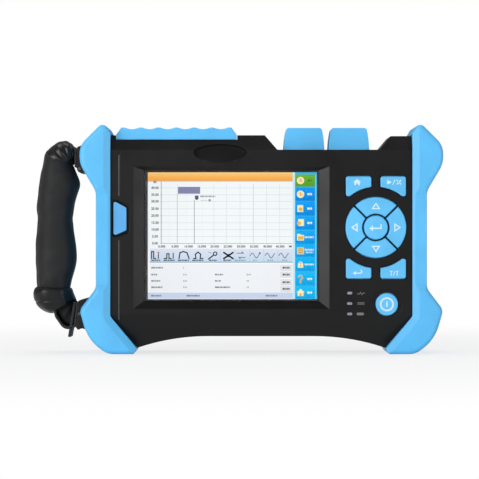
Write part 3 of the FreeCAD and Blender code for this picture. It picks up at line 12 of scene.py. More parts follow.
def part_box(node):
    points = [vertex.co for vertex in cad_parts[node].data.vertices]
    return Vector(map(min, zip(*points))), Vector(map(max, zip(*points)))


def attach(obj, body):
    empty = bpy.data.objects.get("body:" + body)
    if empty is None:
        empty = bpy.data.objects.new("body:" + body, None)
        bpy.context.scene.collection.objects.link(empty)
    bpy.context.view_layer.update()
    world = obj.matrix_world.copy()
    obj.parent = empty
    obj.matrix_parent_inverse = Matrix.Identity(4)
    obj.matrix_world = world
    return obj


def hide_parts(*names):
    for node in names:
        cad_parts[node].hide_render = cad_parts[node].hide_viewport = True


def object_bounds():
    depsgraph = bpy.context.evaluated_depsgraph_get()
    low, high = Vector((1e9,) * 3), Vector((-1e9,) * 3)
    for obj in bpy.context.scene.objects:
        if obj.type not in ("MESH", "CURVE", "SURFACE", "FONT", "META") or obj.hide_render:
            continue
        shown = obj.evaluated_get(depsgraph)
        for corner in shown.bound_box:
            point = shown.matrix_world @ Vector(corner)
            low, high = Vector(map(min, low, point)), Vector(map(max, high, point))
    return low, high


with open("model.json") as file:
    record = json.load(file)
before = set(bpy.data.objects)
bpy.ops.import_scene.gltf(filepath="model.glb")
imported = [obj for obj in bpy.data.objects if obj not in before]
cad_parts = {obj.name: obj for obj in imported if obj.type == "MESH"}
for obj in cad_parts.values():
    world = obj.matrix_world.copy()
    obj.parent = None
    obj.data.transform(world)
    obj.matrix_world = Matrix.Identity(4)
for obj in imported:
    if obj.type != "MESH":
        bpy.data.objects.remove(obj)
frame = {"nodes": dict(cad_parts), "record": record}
cad_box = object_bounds()
nodes = frame["nodes"]
scene = bpy.context.scene
MM = 0.001


def middle_of(node):
    low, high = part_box(node)
    return (low + high) / 2


# ---------------------------------------------------------------- shader building

def set_all(thing, settings):
    for key, value in settings.items():
        setattr(thing, key, value)


def set_input(tree, socket, value):
    """Joins an output to the input, or sets the input to a number or a colour."""
    if isinstance(value, bpy.types.NodeSocket):
        tree.links.new(value, socket)
    else:
        socket.default_value = (*value, 1.0) if socket.type == "RGBA" else value


def place(tree, kind, settings=None, inputs=None):
    """One shader node, with its settings and its inputs."""
    made = tree.nodes.new("ShaderNode" + kind)
    set_all(made, settings or {})
    for key, value in (inputs or {}).items():
        set_input(tree, made.inputs[key], value)
    return made


def feed(tree, node, **inputs):
    """Sets the node's inputs of these names, with _ for each space."""
    for name, value in inputs.items():
        set_input(tree, node.inputs[name.replace("_", " ")], value)


def math_node(tree, operation, *values):
    return place(tree, "Math", {"operation": operation}, dict(enumerate(values))).outputs[0]


def vector_node(tree, operation, inputs):
    return place(tree, "VectorMath", {"operation": operation}, inputs).outputs


def object_place(tree):
    return place(tree, "TexCoord").outputs["Object"]


def noise_value(tree, scale, detail=2.0, vector=None):
    inputs = {"Vector": vector or object_place(tree), "Scale": scale, "Detail": detail}
    return place(tree, "TexNoise", {}, inputs).outputs["Fac"]


def mapped(tree, value, low, high, to_low, to_high, kind="LINEAR"):
    inputs = {"Value": value, "From Min": low, "From Max": high, "To Min": to_low, "To Max": to_high}
    return place(tree, "MapRange", {"interpolation_type": kind}, inputs).outputs["Result"]


def tinted(tree, factor, first, second):
    """A colour between two, each a plain colour or a socket."""
    mix = place(tree, "Mix", {"data_type": "RGBA"}, {"Factor": factor, 6: first, 7: second})
    return mix.outputs[2]


def new_group(name, inputs, *outputs):
    """An empty shader group with named float or colour sockets, its inlet and its outlet."""
    group = bpy.data.node_groups.new(name, "ShaderNodeTree")
    for label, default in inputs.items():
        kind = "NodeSocketColor" if label == "Colour" else "NodeSocketFloat"
        group.interface.new_socket(label, in_out="INPUT", socket_type=kind).default_value = default
    for label in outputs:
        kind = "NodeSocketColor" if label == "Colour" else "NodeSocketFloat"
        group.interface.new_socket(label, in_out="OUTPUT", socket_type=kind)
    return group, group.nodes.new("NodeGroupInput").outputs, group.nodes.new("NodeGroupOutput")


def moulded_grain():
    """Fine spark-eroded texture, with slow drifts of tone and of gloss."""
    group, inlet, outlet = new_group("moulded_grain", {"Grain Scale": 1800.0, "Drift Scale": 40.0},
                                     "Height", "Drift")
    feed(group, outlet, Height=noise_value(group, inlet["Grain Scale"], 3.0),
         Drift=noise_value(group, inlet["Drift Scale"]))
    return group


def worn_edges():
    """Bright where a corner of the piece has been rubbed, broken up by noise."""
    group, inlet, outlet = new_group("worn_edges", {"Reach": 0.0008}, "Mask")
    rounded = place(group, "Bevel", {"samples": 4}, {"Radius": inlet["Reach"]}).outputs["Normal"]
    straight = place(group, "NewGeometry").outputs["Normal"]
    turn = vector_node(group, "DOT_PRODUCT", {0: rounded, 1: straight})["Value"]
    corner = mapped(group, turn, 0.98, 0.80, 0.0, 1.0)
    patchy = mapped(group, noise_value(group, 260.0, 3.0), 0.42, 0.62, 0.25, 1.0)
    feed(group, outlet, Mask=math_node(group, "MULTIPLY", corner, patchy))
    return group


def rib_weave():
    """Ribs across a woven band, with warp threads over them, from the piece's UV map in metres; the
    hollows between ribs are darker as painted shade, over a random tone of the thread.
    """
    group, inlet, outlet = new_group("rib_weave", {"Rib Pitch": 0.0011, "Thread Pitch": 0.0007},
                                     "Height", "Shade")
    uv = place(group, "UVMap").outputs["UV"]
    parts = place(group, "SeparateXYZ", {}, {0: uv}).outputs
    wave = {}
    for axis, pitch in (("X", "Thread Pitch"), ("Y", "Rib Pitch")):
        turns = math_node(group, "DIVIDE", parts[axis], inlet[pitch])
        wave[axis] = math_node(group, "SINE", math_node(group, "MULTIPLY", turns, 2 * math.pi))
    crossed = math_node(group, "MULTIPLY", wave["X"], wave["Y"])
    ribs = math_node(group, "MULTIPLY_ADD", crossed, 0.6, wave["Y"])
    # painted shade: the lower the rib's surface, the darker its colour; the noise is the thread's random
    # tone
    shade = math_node(group, "MULTIPLY", mapped(group, ribs, -1.6, 1.6, 0.55, 1.0),
                      mapped(group, noise_value(group, 500.0), 0.3, 0.7, 0.85, 1.1))
    feed(group, outlet, Height=mapped(group, ribs, -1.6, 1.6, 0.0, 1.0), Shade=shade)
    return group


def jersey_knit():
    """Close knitted face of a laminated foam, with a slow cloudiness of nap."""
    group, inlet, outlet = new_group("jersey_knit", {"Stitch Scale": 1500.0, "Nap Scale": 90.0},
                                     "Height", "Shade")
    cells = place(group, "TexVoronoi", {},
                  {"Vector": object_place(group), "Scale": inlet["Stitch Scale"]})
    nap = noise_value(group, inlet["Nap Scale"], 4.0)
    feed(group, outlet, Height=cells.outputs["Distance"], Shade=mapped(group, nap, 0.3, 0.7, 0.7, 1.25))
    return group


def brushed_lines():
    """Long fine scratches along X for rolled sheet and turned metal."""
    group, inlet, outlet = new_group("brushed_lines", {"Scale": 900.0}, "Height", "Gloss")
    long = place(group, "Mapping", {}, {"Vector": object_place(group), "Scale": (0.06, 1.0, 1.0)})
    lines = noise_value(group, inlet["Scale"], 3.0, long.outputs["Vector"])
    feed(group, outlet, Height=lines, Gloss=mapped(group, lines, 0.3, 0.7, 0.8, 1.25))
    return group


def lit_panel():
    """A colour of the display, dimmed a little towards the panel's corners and by its fine dot grid."""
    group, inlet, outlet = new_group("lit_panel", {"Colour": (1.0, 1.0, 1.0, 1.0)}, "Colour")
    reach = vector_node(group, "DISTANCE", {0: object_place(group), 1: middle_of("lcd_module")})["Value"]
    dim = mapped(group, reach, 0.03, 0.08, 1.0, 0.93)
    dots = mapped(group, noise_value(group, 3000.0, 0.0), 0.3, 0.7, 0.97, 1.02)
    strength = math_node(group, "MULTIPLY", dim, dots)
    scaled = vector_node(group, "SCALE", {0: inlet["Colour"], "Scale": strength})
    feed(group, outlet, Colour=scaled["Vector"])
    return group


GROUPS = {make.__name__: make() for make in
          (moulded_grain, worn_edges, rib_weave, jersey_knit, brushed_lines, lit_panel)}


def use_group(tree, name, inputs=None):
    return place(tree, "Group", {"node_tree": GROUPS[name]}, inputs).outputs


# ---------------------------------------------------------------- finishes

FINISHES = {}
SCREEN_GLOW = 0.98
PLASTIC_RELIEF = 0.00002
METAL_RELIEF, METAL_EDGE = 0.000004, 0.0001
RELIEF_SAMPLES = 6


def start_finish(name, **constants):
    """A new finish with one Principled shader, whose plain numbers are set on its own sockets."""
    material = FINISHES[name] = bpy.data.materials.new(name)
    material.use_nodes = True
    tree = material.node_tree
    shader = tree.nodes["Principled BSDF"]
    feed(tree, shader, **constants)
    return tree, shader


def grey(shade):
    return (shade, shade, shade)


def faded(colour, share):
    return tuple(part * share for part in colour)


def set_bump(tree, shader, height, depth, round_edge=0.0):
    """Fine relief, over corners that are eased by round_edge metres."""
    inputs = {"Height": height, "Strength": 1.0, "Distance": depth}
    if round_edge:
        eased = place(tree, "Bevel", {"samples": RELIEF_SAMPLES}, {"Radius": round_edge})
        inputs["Normal"] = eased.outputs["Normal"]
    feed(tree, shader, Normal=place(tree, "Bump", {}, inputs).outputs["Normal"])


def toned(tree, shader, factor, dark, light, gloss, height=None, depth=0.0):
    """Colour and roughness that follow one factor, with fine relief where a height is given."""
    feed(tree, shader, Base_Color=tinted(tree, factor, dark, light),
         Roughness=mapped(tree, factor, *gloss))
    if depth:
        set_bump(tree, shader, height, depth)


def plastic(name, colour, worn, roughness, grain=1800.0, edge=0.00035, wear=0.5, **constants):
    """Moulded plastic: grained, slightly uneven in tone and gloss, paler where its corners rub."""
    tree, shader = start_finish(name, **constants)
    texture = use_group(tree, "moulded_grain", {"Grain Scale": grain})
    base = tinted(tree, mapped(tree, texture["Drift"], 0.35, 0.65, 0.0, 1.0), faded(colour, 0.9), colour)
    rubbed = math_node(tree, "MULTIPLY", use_group(tree, "worn_edges")["Mask"], wear)
    feed(tree, shader, Base_Color=tinted(tree, rubbed, base, worn),
         Roughness=mapped(tree, texture["Drift"], 0.3, 0.7, roughness - 0.05, roughness + 0.05))
    set_bump(tree, shader, texture["Height"], PLASTIC_RELIEF, edge)


def metal(name, colour, roughness, scale=900.0):
    """Rolled or turned metal with fine lines, its tone a little uneven."""
    tree, shader = start_finish(name, Metallic=1.0)
    lines = use_group(tree, "brushed_lines", {"Scale": scale})
    patches = mapped(tree, noise_value(tree, 150.0), 0.35, 0.65, 0.0, 1.0)
    feed(tree, shader, Base_Color=tinted(tree, patches, faded(colour, 0.82), colour),
         Roughness=math_node(tree, "MULTIPLY", lines["Gloss"], roughness))
    set_bump(tree, shader, lines["Height"], METAL_RELIEF, METAL_EDGE)


def clear_window():
    """Coated glass, with a touch of haze."""
    tree, shader = start_finish("lens", Transmission_Weight=1.0, IOR=1.16, Metallic=0.0,
                                Base_Color=grey(1.0))
    feed(tree, shader, Roughness=mapped(tree, noise_value(tree, 60.0, 4.0), 0.4, 0.7, 0.0, 0.02))


def frosted_light():
    tree, shader = start_finish("light_pipe", Specular_IOR_Level=0.4)
    cloud = mapped(tree, noise_value(tree, 900.0, 3.0), 0.3, 0.7, 0.0, 1.0)
    toned(tree, shader, cloud, (0.20, 0.19, 0.25), (0.30, 0.29, 0.37), (0.0, 1.0, 0.25, 0.4))


def circuit_board():
    """Green board, with paler tracks."""
    tree, shader = start_finish("board", Coat_Weight=0.3)
    bricks = place(tree, "TexBrick", {"offset": 0.37, "squash": 1.4}, {
        "Vector": object_place(tree), "Scale": 160.0, "Mortar Size": 0.03, "Color1": grey(0.0),
        "Color2": grey(0.25), "Mortar": grey(1.0)})
    tracks = place(tree, "RGBToBW", {}, {0: bricks.outputs["Color"]}).outputs[0]
    toned(tree, shader, tracks, (0.01, 0.10, 0.035), (0.03, 0.22, 0.08), (0.0, 1.0, 0.45, 0.3),
          tracks, 0.00003)


def wrapped_cells():
    """Shrunk film over battery cells."""
    tree, shader = start_finish("cell_pack", Coat_Weight=0.4, Coat_Roughness=0.15)
    creases = noise_value(tree, 120.0, 5.0)
    toned(tree, shader, creases, (0.02, 0.03, 0.06), (0.04, 0.06, 0.10), (0.3, 0.7, 0.25, 0.4),
          creases, 0.0002)


def woven_band():
    tree, shader = start_finish("webbing", Specular_IOR_Level=0.3, Sheen_Weight=0.15)
    weave = use_group(tree, "rib_weave")
    # the weave's shade paints the hollows between ribs darker (painted shade)
    toned(tree, shader, weave["Shade"], grey(0.004), (0.03, 0.03, 0.031), (0.5, 1.0, 0.75, 0.6),
          weave["Height"], 0.00025)


def foam_cloth(name, dark, light, roughness, depth, **constants):
    """Knitted cloth over foam, or thread."""
    tree, shader = start_finish(name, **constants)
    knit = use_group(tree, "jersey_knit")
    toned(tree, shader, knit["Shade"], dark, light, (0.7, 1.25, roughness + 0.05, roughness - 0.05),
          knit["Height"], depth)


def screen_colour(name, colour):
    """A colour that the display gives out."""
    tree, shader = start_finish(name, Base_Color=grey(0.0), Emission_Strength=SCREEN_GLOW,
                                Roughness=0.6, Specular_IOR_Level=0.0)
    lit = use_group(tree, "lit_panel", {"Colour": colour})
    feed(tree, shader, Emission_Color=lit["Colour"])


def ink(name, colour):
    """Printed ink: a little thin in places."""
    tree, shader = start_finish(name)
    thin = mapped(tree, noise_value(tree, 1400.0, 3.0), 0.35, 0.6, 0.0, 1.0)
    toned(tree, shader, thin, faded(colour, 0.9), colour, (0.0, 1.0, 0.45, 0.55))
    return FINISHES[name]


clear_window()
circuit_board()
frosted_light()
wrapped_cells()
woven_band()
plastic("black_housing", (0.0064, 0.0064, 0.0067), (0.04, 0.04, 0.042), 0.37, wear=0.3,
        Specular_IOR_Level=0.20)
plastic("seal", grey(0.010), grey(0.02), 0.8, wear=0.0)
plastic("blue_bumper", (0.097, 0.480, 0.860), (0.30, 0.66, 0.98), 0.48, grain=2600.0, wear=0.25,
        Specular_IOR_Level=0.4)
plastic("blue_keys", (0.114, 0.500, 0.860), (0.30, 0.70, 0.96), 0.42, grain=2600.0, edge=0.0003,
        wear=0.55, Specular_IOR_Level=0.4)
plastic("badge", (0.090, 0.390, 0.780), (0.28, 0.62, 0.94), 0.35, wear=0.3, Coat_Weight=0.3)
plastic("lcd", (0.006, 0.006, 0.008), grey(0.02), 0.35, wear=0.0)
plastic("switch", grey(0.02), grey(0.06), 0.5)
# painted highlight: a pale plastic, much lighter than the housing, for the light caught along the face's
# two creases
plastic("painted_highlight_bead", (0.040, 0.039, 0.043), grey(0.07), 0.35, wear=0.2)
plastic("strap_plastic", (0.005, 0.005, 0.0053), grey(0.03), 0.45, wear=0.3, Specular_IOR_Level=0.22)
metal("pressed_steel", (0.62, 0.62, 0.64), 0.34)
metal("brass_post", (0.75, 0.55, 0.25), 0.3)
metal("module_case", (0.60, 0.60, 0.62), 0.5, scale=1600.0)
metal("blackened_bar", (0.09, 0.09, 0.095), 0.5)
metal("nickel_adapter", (0.72, 0.71, 0.69), 0.22)
metal("screw", (0.16, 0.16, 0.17), 0.4)
foam_cloth("foam_grip", grey(0.006), (0.0125, 0.0125, 0.0127), 0.62, 0.00006, Specular_IOR_Level=0.22,
           Sheen_Weight=0.05, Sheen_Roughness=0.5)
foam_cloth("cuff", grey(0.004), (0.0085, 0.0085, 0.0088), 0.38, 0.00004, Specular_IOR_Level=0.22)
# painted shade: near-black cloth, darker than the sleeve and the cuff, for the shadow between the strap's
# layers at the lower bar
foam_cloth("painted_shade_lining", grey(0.0015), grey(0.004), 0.6, 0.00004, Specular_IOR_Level=0.15)
foam_cloth("binding", grey(0.003), (0.006, 0.006, 0.0063), 0.34, 0.00003, Specular_IOR_Level=0.4)
foam_cloth("thread", grey(0.008), grey(0.018), 0.55, 0.00002)

for part in frame["record"]["subparts"]:
    mesh = nodes[part["node"]].data
    mesh.materials.clear()
    mesh.materials.append(FINISHES[part["material_slot"]])
nodes["strap_bars"].data.materials[0] = FINISHES["blackened_bar"]


# ---------------------------------------------------------------- making pieces

def dress_piece(piece, body):
    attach(piece, body)


def new_object(name, data):
    made = bpy.data.objects.new(name, data)
    scene.collection.objects.link(made)
    return made


def object_from(name, shape, materials):
    """A piece from a bmesh, with its faces turned outwards."""
    bmesh.ops.recalc_face_normals(shape, faces=shape.faces)
    mesh = bpy.data.meshes.new(name)
    shape.to_mesh(mesh)
    shape.free()
    for material in materials:
        mesh.materials.append(material)
    return new_object(name, mesh)


def of_kind(parts, kind):
    """The vertices or the edges among an operator's results."""
    return [part for part in parts if isinstance(part, kind)]


def smooth_faces(piece):
    piece.data.polygons.foreach_set("use_smooth", [True] * len(piece.data.polygons))


# ---------------------------------------------------------------- flat prints

PLATE = 0.8  # share of a layer's film that a print fills
FIGURE_SIZE = 1.35  # font size over the height of a figure
FIGURE_WEIGHT = 0.035  # how far a figure's outline is thickened, over its height


class Print:
    """Thin flat shapes on a surface that faces -Y.  Places are in drawing units, across and up from
    the origin; each layer lies one film thickness in front of the last."""

    def __init__(self, origin, unit, film):
        self.origin = Vector(origin)
        self.unit = unit
        self.film = film
        self.shape = bmesh.new()
        self.flat = []
        self.inks = []

    def spot(self, across, up, depth):
        return self.origin + Vector((across * self.unit, -depth * self.film, up * self.unit))

    def index(self, material):
        if material not in self.inks:
            self.inks.append(material)
        return self.inks.index(material)

    def polygon(self, points, material, layer=0):
        """A flat face; finish gives it its thickness."""
        corners = [self.shape.verts.new(self.spot(*point, layer)) for point in points]
        self.flat.append(self.shape.faces.new(corners))
        self.flat[-1].material_index = self.index(material)

    def bar(self, left, low, right, high, material, layer=0):
        self.polygon([(left, low), (right, low), (right, high), (left, high)], material, layer)

    def stroke(self, points, width, material, layer=0):
        for start, end in zip(points, points[1:]):
            along = (Vector(end) - Vector(start)).normalized() * width / 2
            side = Vector((-along.y, along.x))
            first, last = Vector(start) - along, Vector(end) + along
            self.polygon([first - side, last - side, last + side, first + side], material, layer)

    def ring(self, across, up, radius, hole, start, sweep, material, layer=0):
        """A ring, or part of one, in steps of about 12 degrees."""
        steps = max(8, round(abs(sweep) / 12))
        turns = [math.radians(start + sweep * step / steps) for step in range(steps + 1)]
        ways = [Vector((math.cos(turn), math.sin(turn))) for turn in turns]
        middle = Vector((across, up))
        for one, two in zip(ways, ways[1:]):
            self.polygon([middle + one * radius, middle + two * radius, middle + two * hole,
                          middle + one * hole], material, layer)

    def disc(self, across, up, radius, material, layer=0):
        turns = [math.radians(12 * step) for step in range(30)]
        self.polygon([(across + radius * math.cos(turn), up + radius * math.sin(turn)) for turn in turns],
                     material, layer)

    def outline(self, points, width, material, layer=0):
        """A closed outline of even width, drawn inwards from a convex polygon."""
        outer = [Vector(point) for point in points]
        inner = []
        for before, spot, after in zip(outer[-1:] + outer, outer, outer[1:] + outer[:1]):
            back, ahead = (before - spot).normalized(), (after - spot).normalized()
            inner.append(spot + (back + ahead).normalized() * (width / math.sin(back.angle(ahead) / 2)))
        for i in range(len(outer)):
            self.polygon([outer[i - 1], outer[i], inner[i], inner[i - 1]], material, layer)

    def numbers(self, text, across, up, height, material, layer=0):
        """Plain figures, centred on a place."""
        curve = bpy.data.curves.new("figures", "FONT")
        tall = height * self.unit
        set_all(curve, {"body": text, "align_x": "CENTER", "align_y": "CENTER", "resolution_u": 2,
                        "size": tall * FIGURE_SIZE, "offset": tall * FIGURE_WEIGHT,
                        "extrude": self.film * PLATE / 2})
        written = new_object("figures", curve)
        bpy.context.view_layer.update()
        mesh = bpy.data.meshes.new_from_object(written)
        stand = Matrix.Translation(self.spot(across, up, layer + PLATE / 2))
        mesh.transform(stand @ Matrix.Rotation(math.pi / 2, 4, "X"))
        known = len(self.shape.faces)
        self.shape.from_mesh(mesh)
        bpy.data.objects.remove(written)
        added = list(self.shape.faces)[known:]
        for face in added:
            face.material_index = self.index(material)
        corners = list({corner for face in added for corner in face.verts})
        bmesh.ops.remove_doubles(self.shape, verts=corners, dist=1e-7)

    def finish(self, name, body, slot):
        """Draws the flat faces out into closed plates and makes the piece."""
        grown = bmesh.ops.extrude_face_region(self.shape, geom=self.flat)["geom"]
        bmesh.ops.translate(self.shape, verts=of_kind(grown, bmesh.types.BMVert),
                            vec=(0.0, -PLATE * self.film, 0.0))
        dress_piece(object_from(name, self.shape, self.inks), body)


# ---------------------------------------------------------------- picture on the display

def tone(red, green, blue):
    """A display colour given as 0 to 255 screen values."""
    return tuple(((part / 255 + 0.055) / 1.055) ** 2.4 if part > 10 else part / 255 / 12.92
                 for part in (red, green, blue))


class Picture(Print):
    """The display's picture: points across and down from its upper left corner, colours as 0 to 255."""

    WIDE, HIGH = 640, 480
    PANEL_WIDTH = 115.3 * MM
    ASIDE, BELOW, AHEAD = 0.69 * MM, 0.05 * MM, 0.02 * MM

    def __init__(self):
        middle, front = middle_of("lcd_module"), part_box("lcd_module")[0].y
        unit = self.PANEL_WIDTH / self.WIDE
        corner = (middle.x + self.ASIDE - self.WIDE / 2 * unit, front - self.AHEAD,
                  middle.z - self.BELOW - self.HIGH / 2 * unit)
        super().__init__(corner, unit, 0.024 * MM)

    def spot(self, across, down, depth):
        return super().spot(across, self.HIGH - down, depth)

    def index(self, colour):
        name = "shown_" + "_".join(str(part) for part in colour)
        if name not in FINISHES:
            screen_colour(name, tone(*colour))
        return super().index(FINISHES[name])

    def fade(self, left, top, right, bottom, first, last, steps, layer=0):
        """Bands that go from one colour to another, downwards."""
        height = (bottom - top) / steps
        for step in range(steps):
            share = step / (steps - 1)
            colour = tuple(round(a + (b - a) * share) for a, b in zip(first, last))
            self.bar(left, top + height * step, right, top + height * (step + 1), colour, layer)

    def caption(self, left, right, middle, height, colour, layer=2):
        """Small blocks where a row of words would stand."""
        widths = (0.30, 0.16, 0.24, 0.12)
        start, turn = left, 0
        while start < right - 2:
            end = min(right, start + max(3.0, (right - left) * widths[turn % 4]))
            self.bar(start, middle - height / 2, end, middle + height / 2, colour, layer)
            start, turn = end + 2.0, turn + 1


WHITE, PLOT, PANE = (255, 255, 255), (247, 252, 253), (243, 246, 250)
GRID, AXIS, MARK = (206, 216, 222), (118, 120, 132), (26, 28, 38)
DARK, GREYED, SOFT_GREY = (24, 26, 34), (104, 128, 146), (168, 172, 180)
PALE, WARM = (255, 244, 196), (240, 186, 70)


def plot_area(picture):
    """The trace plot: its grid, axes, figures and marks."""
    picture.bar(0, 35, 548, 289, PLOT)
    for y in (59, 85, 110, 138, 164, 191, 217, 243):
        picture.bar(52, y - 0.6, 545, y + 0.6, GRID, 1)
    for x in (112, 250, 297, 349, 399, 449, 499):
        picture.bar(x - 0.6, 46, x + 0.6, 268, GRID, 1)
    for x in (80, 145, 206):
        picture.bar(x - 0.5, 82, x + 0.5, 268, (232, 236, 242), 1)
    picture.bar(398, 46, 400, 268, (196, 206, 214), 1)
    picture.bar(49.8, 37, 51.8, 270, AXIS, 2)
    picture.bar(49.8, 268.5, 545, 270, AXIS, 2)
    for number, y in enumerate((37, 59, 85, 110, 138, 164, 191, 217, 243, 269)):
        picture.numbers(f"{45 - 5 * number}.00" if number else "45", 27, y, 9.5, MARK, 2)
        picture.bar(46, y - 0.5, 50, y + 0.5, AXIS, 2)
    for number, x in enumerate((53, 103, 154, 204, 253, 303, 353, 402, 453, 501)):
        picture.numbers(f"{5 * number}.000", x, 281, 9, MARK, 2)
        picture.bar(x - 0.5, 269, x + 0.5, 273, AXIS, 2)
    picture.bar(534, 277, 545, 284, AXIS, 2)
    picture.bar(114, 55, 198, 81, (137, 137, 175), 2)
    picture.bar(110.4, 81, 111.8, 268, (170, 172, 186), 3)
    picture.bar(175, 104, 176.8, 268, (96, 98, 108), 3)
    picture.polygon([(178, 88), (192, 88), (192, 100), (185, 106), (178, 100)], (92, 94, 120), 3)
    picture.caption(198, 256, 91, 6, (170, 170, 180))
    picture.bar(200, 105, 226, 107, (190, 194, 204), 2)
    picture.disc(234, 106, 5, (160, 162, 172), 2)


# Width and corners of each line in the tool bar's signs
DARK_LINES = (
    (4.0, [(14, 326), (14, 300), (22, 300), (22, 326), (30, 326)]), (3.6, [(40, 326), (40, 310)]),
    (4.0, [(62, 326), (72, 326), (72, 308), (80, 308), (80, 326), (88, 326)]),
    (3.6, [(96, 306), (96, 326)]), (4.4, [(118, 326), (122, 304), (134, 300), (148, 304), (156, 326)]),
    (4.2, [(174, 326), (182, 326), (180, 310), (190, 302), (200, 310), (198, 326), (208, 326)]),
    (4.6, [(230, 328), (248, 314)]), (6.2, [(288, 304), (322, 326)]), (6.2, [(288, 326), (322, 304)]))
GREY_LINES = ((3.2, [(338, 306), (362, 306), (356, 301)]), (3.2, [(368, 322), (344, 322), (350, 327)]))


def toolbar(picture):
    """The row of tool signs, with a caption under each."""
    picture.fade(7, 289, 548, 338, (226, 231, 246), (203, 224, 242), 8, 1)
    picture.bar(7, 338, 548, 342, (150, 178, 208), 1)
    for width, corners in DARK_LINES:
        picture.stroke(corners, width, DARK, 2)
    for width, corners in GREY_LINES:
        picture.stroke(corners, width, GREYED, 2)
    picture.disc(40, 304, 3.2, (170, 60, 90), 2)
    picture.ring(255, 308, 8.6, 4.6, 0.0, 360.0, DARK, 2)
    picture.stroke([(230, 302), (240, 306)], 2.0, (120, 124, 134), 2)
    picture.disc(305, 315, 6, DARK, 2)
    for left in (388, 444, 496):
        wave = [(left + 3 * n, 315 - 9 * math.sin(n * 0.62)) for n in range(13)]
        picture.stroke(wave, 3.0, GREYED, 2)
    picture.disc(424, 306, 4, (110, 130, 175), 3)
    for left, right in ((13, 47), (60, 104), (114, 158), (168, 212), (232, 262), (286, 316)):
        picture.caption(left, right, 333, 5.5, (96, 104, 120))
    for left, right in ((328, 372), (398, 412), (452, 478), (508, 530)):
        picture.caption(left, right, 333, 5.5, (158, 174, 192))
    for x in (274, 330, 385, 439, 492):
        picture.bar(x - 0.6, 292, x + 0.6, 338, (176, 194, 216), 2)


def data_pane(picture):
    """The table of results, with a button beside each row, and the status bar below it."""
    picture.bar(7, 346, 501, 453, PANE, 1)
    for y, lengths in ((361, (46, 5, 0, 0)), (387, (26, 13, 31, 16)), (411, (34, 14, 26, 12)),
                       (435, (44, 14, 58, 8))):
        for x, length in zip((13, 134, 254, 374), lengths):
            if length:
                picture.caption(x, x + length, y, 6, SOFT_GREY if x in (134, 374) else (142, 146, 154))
    for y in (361, 387, 416, 441):
        picture.bar(502, y - 11, 545, y + 11, (206, 212, 218), 1)
        picture.bar(503, y - 10, 544, y + 9, (232, 235, 238), 2)
        picture.caption(510, 538, y, 7, (84, 88, 98), 3)
    picture.bar(0, 455, 548, 478, (205, 218, 242), 1)
    for left, right in ((12, 52), (146, 200), (446, 492)):
        picture.caption(left, right, 467, 6, (128, 142, 168))


def tab_signs(picture):
    """Two dials, two sheets, a folder, a list, a lock, a question mark and a house."""
    for y in (31, 83):
        picture.disc(578, y, 14, PALE, 3)
        picture.disc(578, y, 9, (255, 226, 150), 4)
        picture.stroke([(578, y - 7), (578, y), (583, y + 3)], 2.0, (214, 120, 60), 5)
    for left, spot, y in ((566, 578, 137), (569, 572, 190)):
        picture.bar(left, y - 13, left + 22, y + 13, PALE, 3)
        picture.disc(spot, y + 3, 7.5, WARM, 4)
    picture.polygon([(565, 233), (576, 233), (580, 237), (591, 237), (591, 258), (565, 258)], PALE, 3)
    picture.bar(568, 242, 589, 255, WARM, 4)
    picture.bar(565, 284, 591, 310, (250, 214, 130), 3)
    for y in (290, 297, 304):
        picture.bar(569, y - 1.4, 587, y + 1.4, (170, 130, 70), 4)
    picture.bar(568, 345, 588, 361, PALE, 3)
    picture.ring(578, 345, 8, 4.6, 0.0, -180.0, PALE, 3)
    picture.disc(578, 353, 3.4, WARM, 4)
    picture.ring(578, 398, 9.5, 5.0, 60.0, -240.0, WARM, 3)
    picture.stroke([(581, 404), (578, 408), (578, 411)], 4.4, WARM, 3)
    picture.disc(578, 417, 3.0, WARM, 3)
    picture.polygon([(562, 455), (578, 441), (594, 455)], PALE, 3)
    picture.bar(567, 455, 589, 468, PALE, 3)
    picture.bar(574, 458, 582, 468, WARM, 4)


def tab_column(picture):
    """The column of tabs: the first one chosen, in green, and the rest in blue."""
    picture.bar(548, 0, 557, 480, (204, 240, 250), 1)
    picture.bar(557, 0, 640, 480, (60, 190, 240))
    ends = ((8, 54), (57, 108), (110, 164), (166, 217), (220, 271), (272, 320), (322, 375), (378, 429),
            (431, 479))
    for number, (top, bottom) in enumerate(ends):
        share = number / 8
        azure = (round(4 * share), round(136 + 42 * share), round(232 + 8 * share))
        colour = azure if number else (94, 166, 40)
        picture.fade(558, top, 633, bottom, [min(255, part + 18) for part in colour], colour, 4, 1)
        middle = (top + bottom) / 2
        if number == 0:
            picture.caption(606, 620, middle, 7, (30, 110, 40))
        elif number in (4, 6):
            picture.caption(594, 628, middle, 6.5, (214, 240, 252))
        elif number == 5:
            picture.caption(594, 628, middle - 3, 6.5, (214, 240, 252))
            picture.caption(598, 626, middle + 7, 6, (190, 232, 250))
        else:
            picture.caption(604, 623, middle, 7.5, WHITE)
    picture.bar(633, 8, 637, 479, (110, 214, 248), 1)
    tab_signs(picture)


def display_picture():
    picture = Picture()
    picture.bar(0, 0, 640, 480, WHITE, -0.9)
    picture.fade(0, 0, 548, 32, (255, 206, 130), (255, 172, 66), 5, 1)
    picture.bar(0, 32, 548, 35, (206, 190, 186), 1)
    plot_area(picture)
    toolbar(picture)
    data_pane(picture)
    tab_column(picture)
    picture.finish("display_picture", "housing", "lcd")


# ---------------------------------------------------------------- symbols on the keys and the face

LEGEND = ink("legend_ink", (0.60, 0.76, 0.86))
FAINT = ink("faint_legend_ink", (0.16, 0.16, 0.155))
INK_FILM = 0.05 * MM
ARROW_TIP, ARROW_FOOT, ARROW_HALF, ARROW_LINE = 17.0, 12.4, 3.1, 0.85

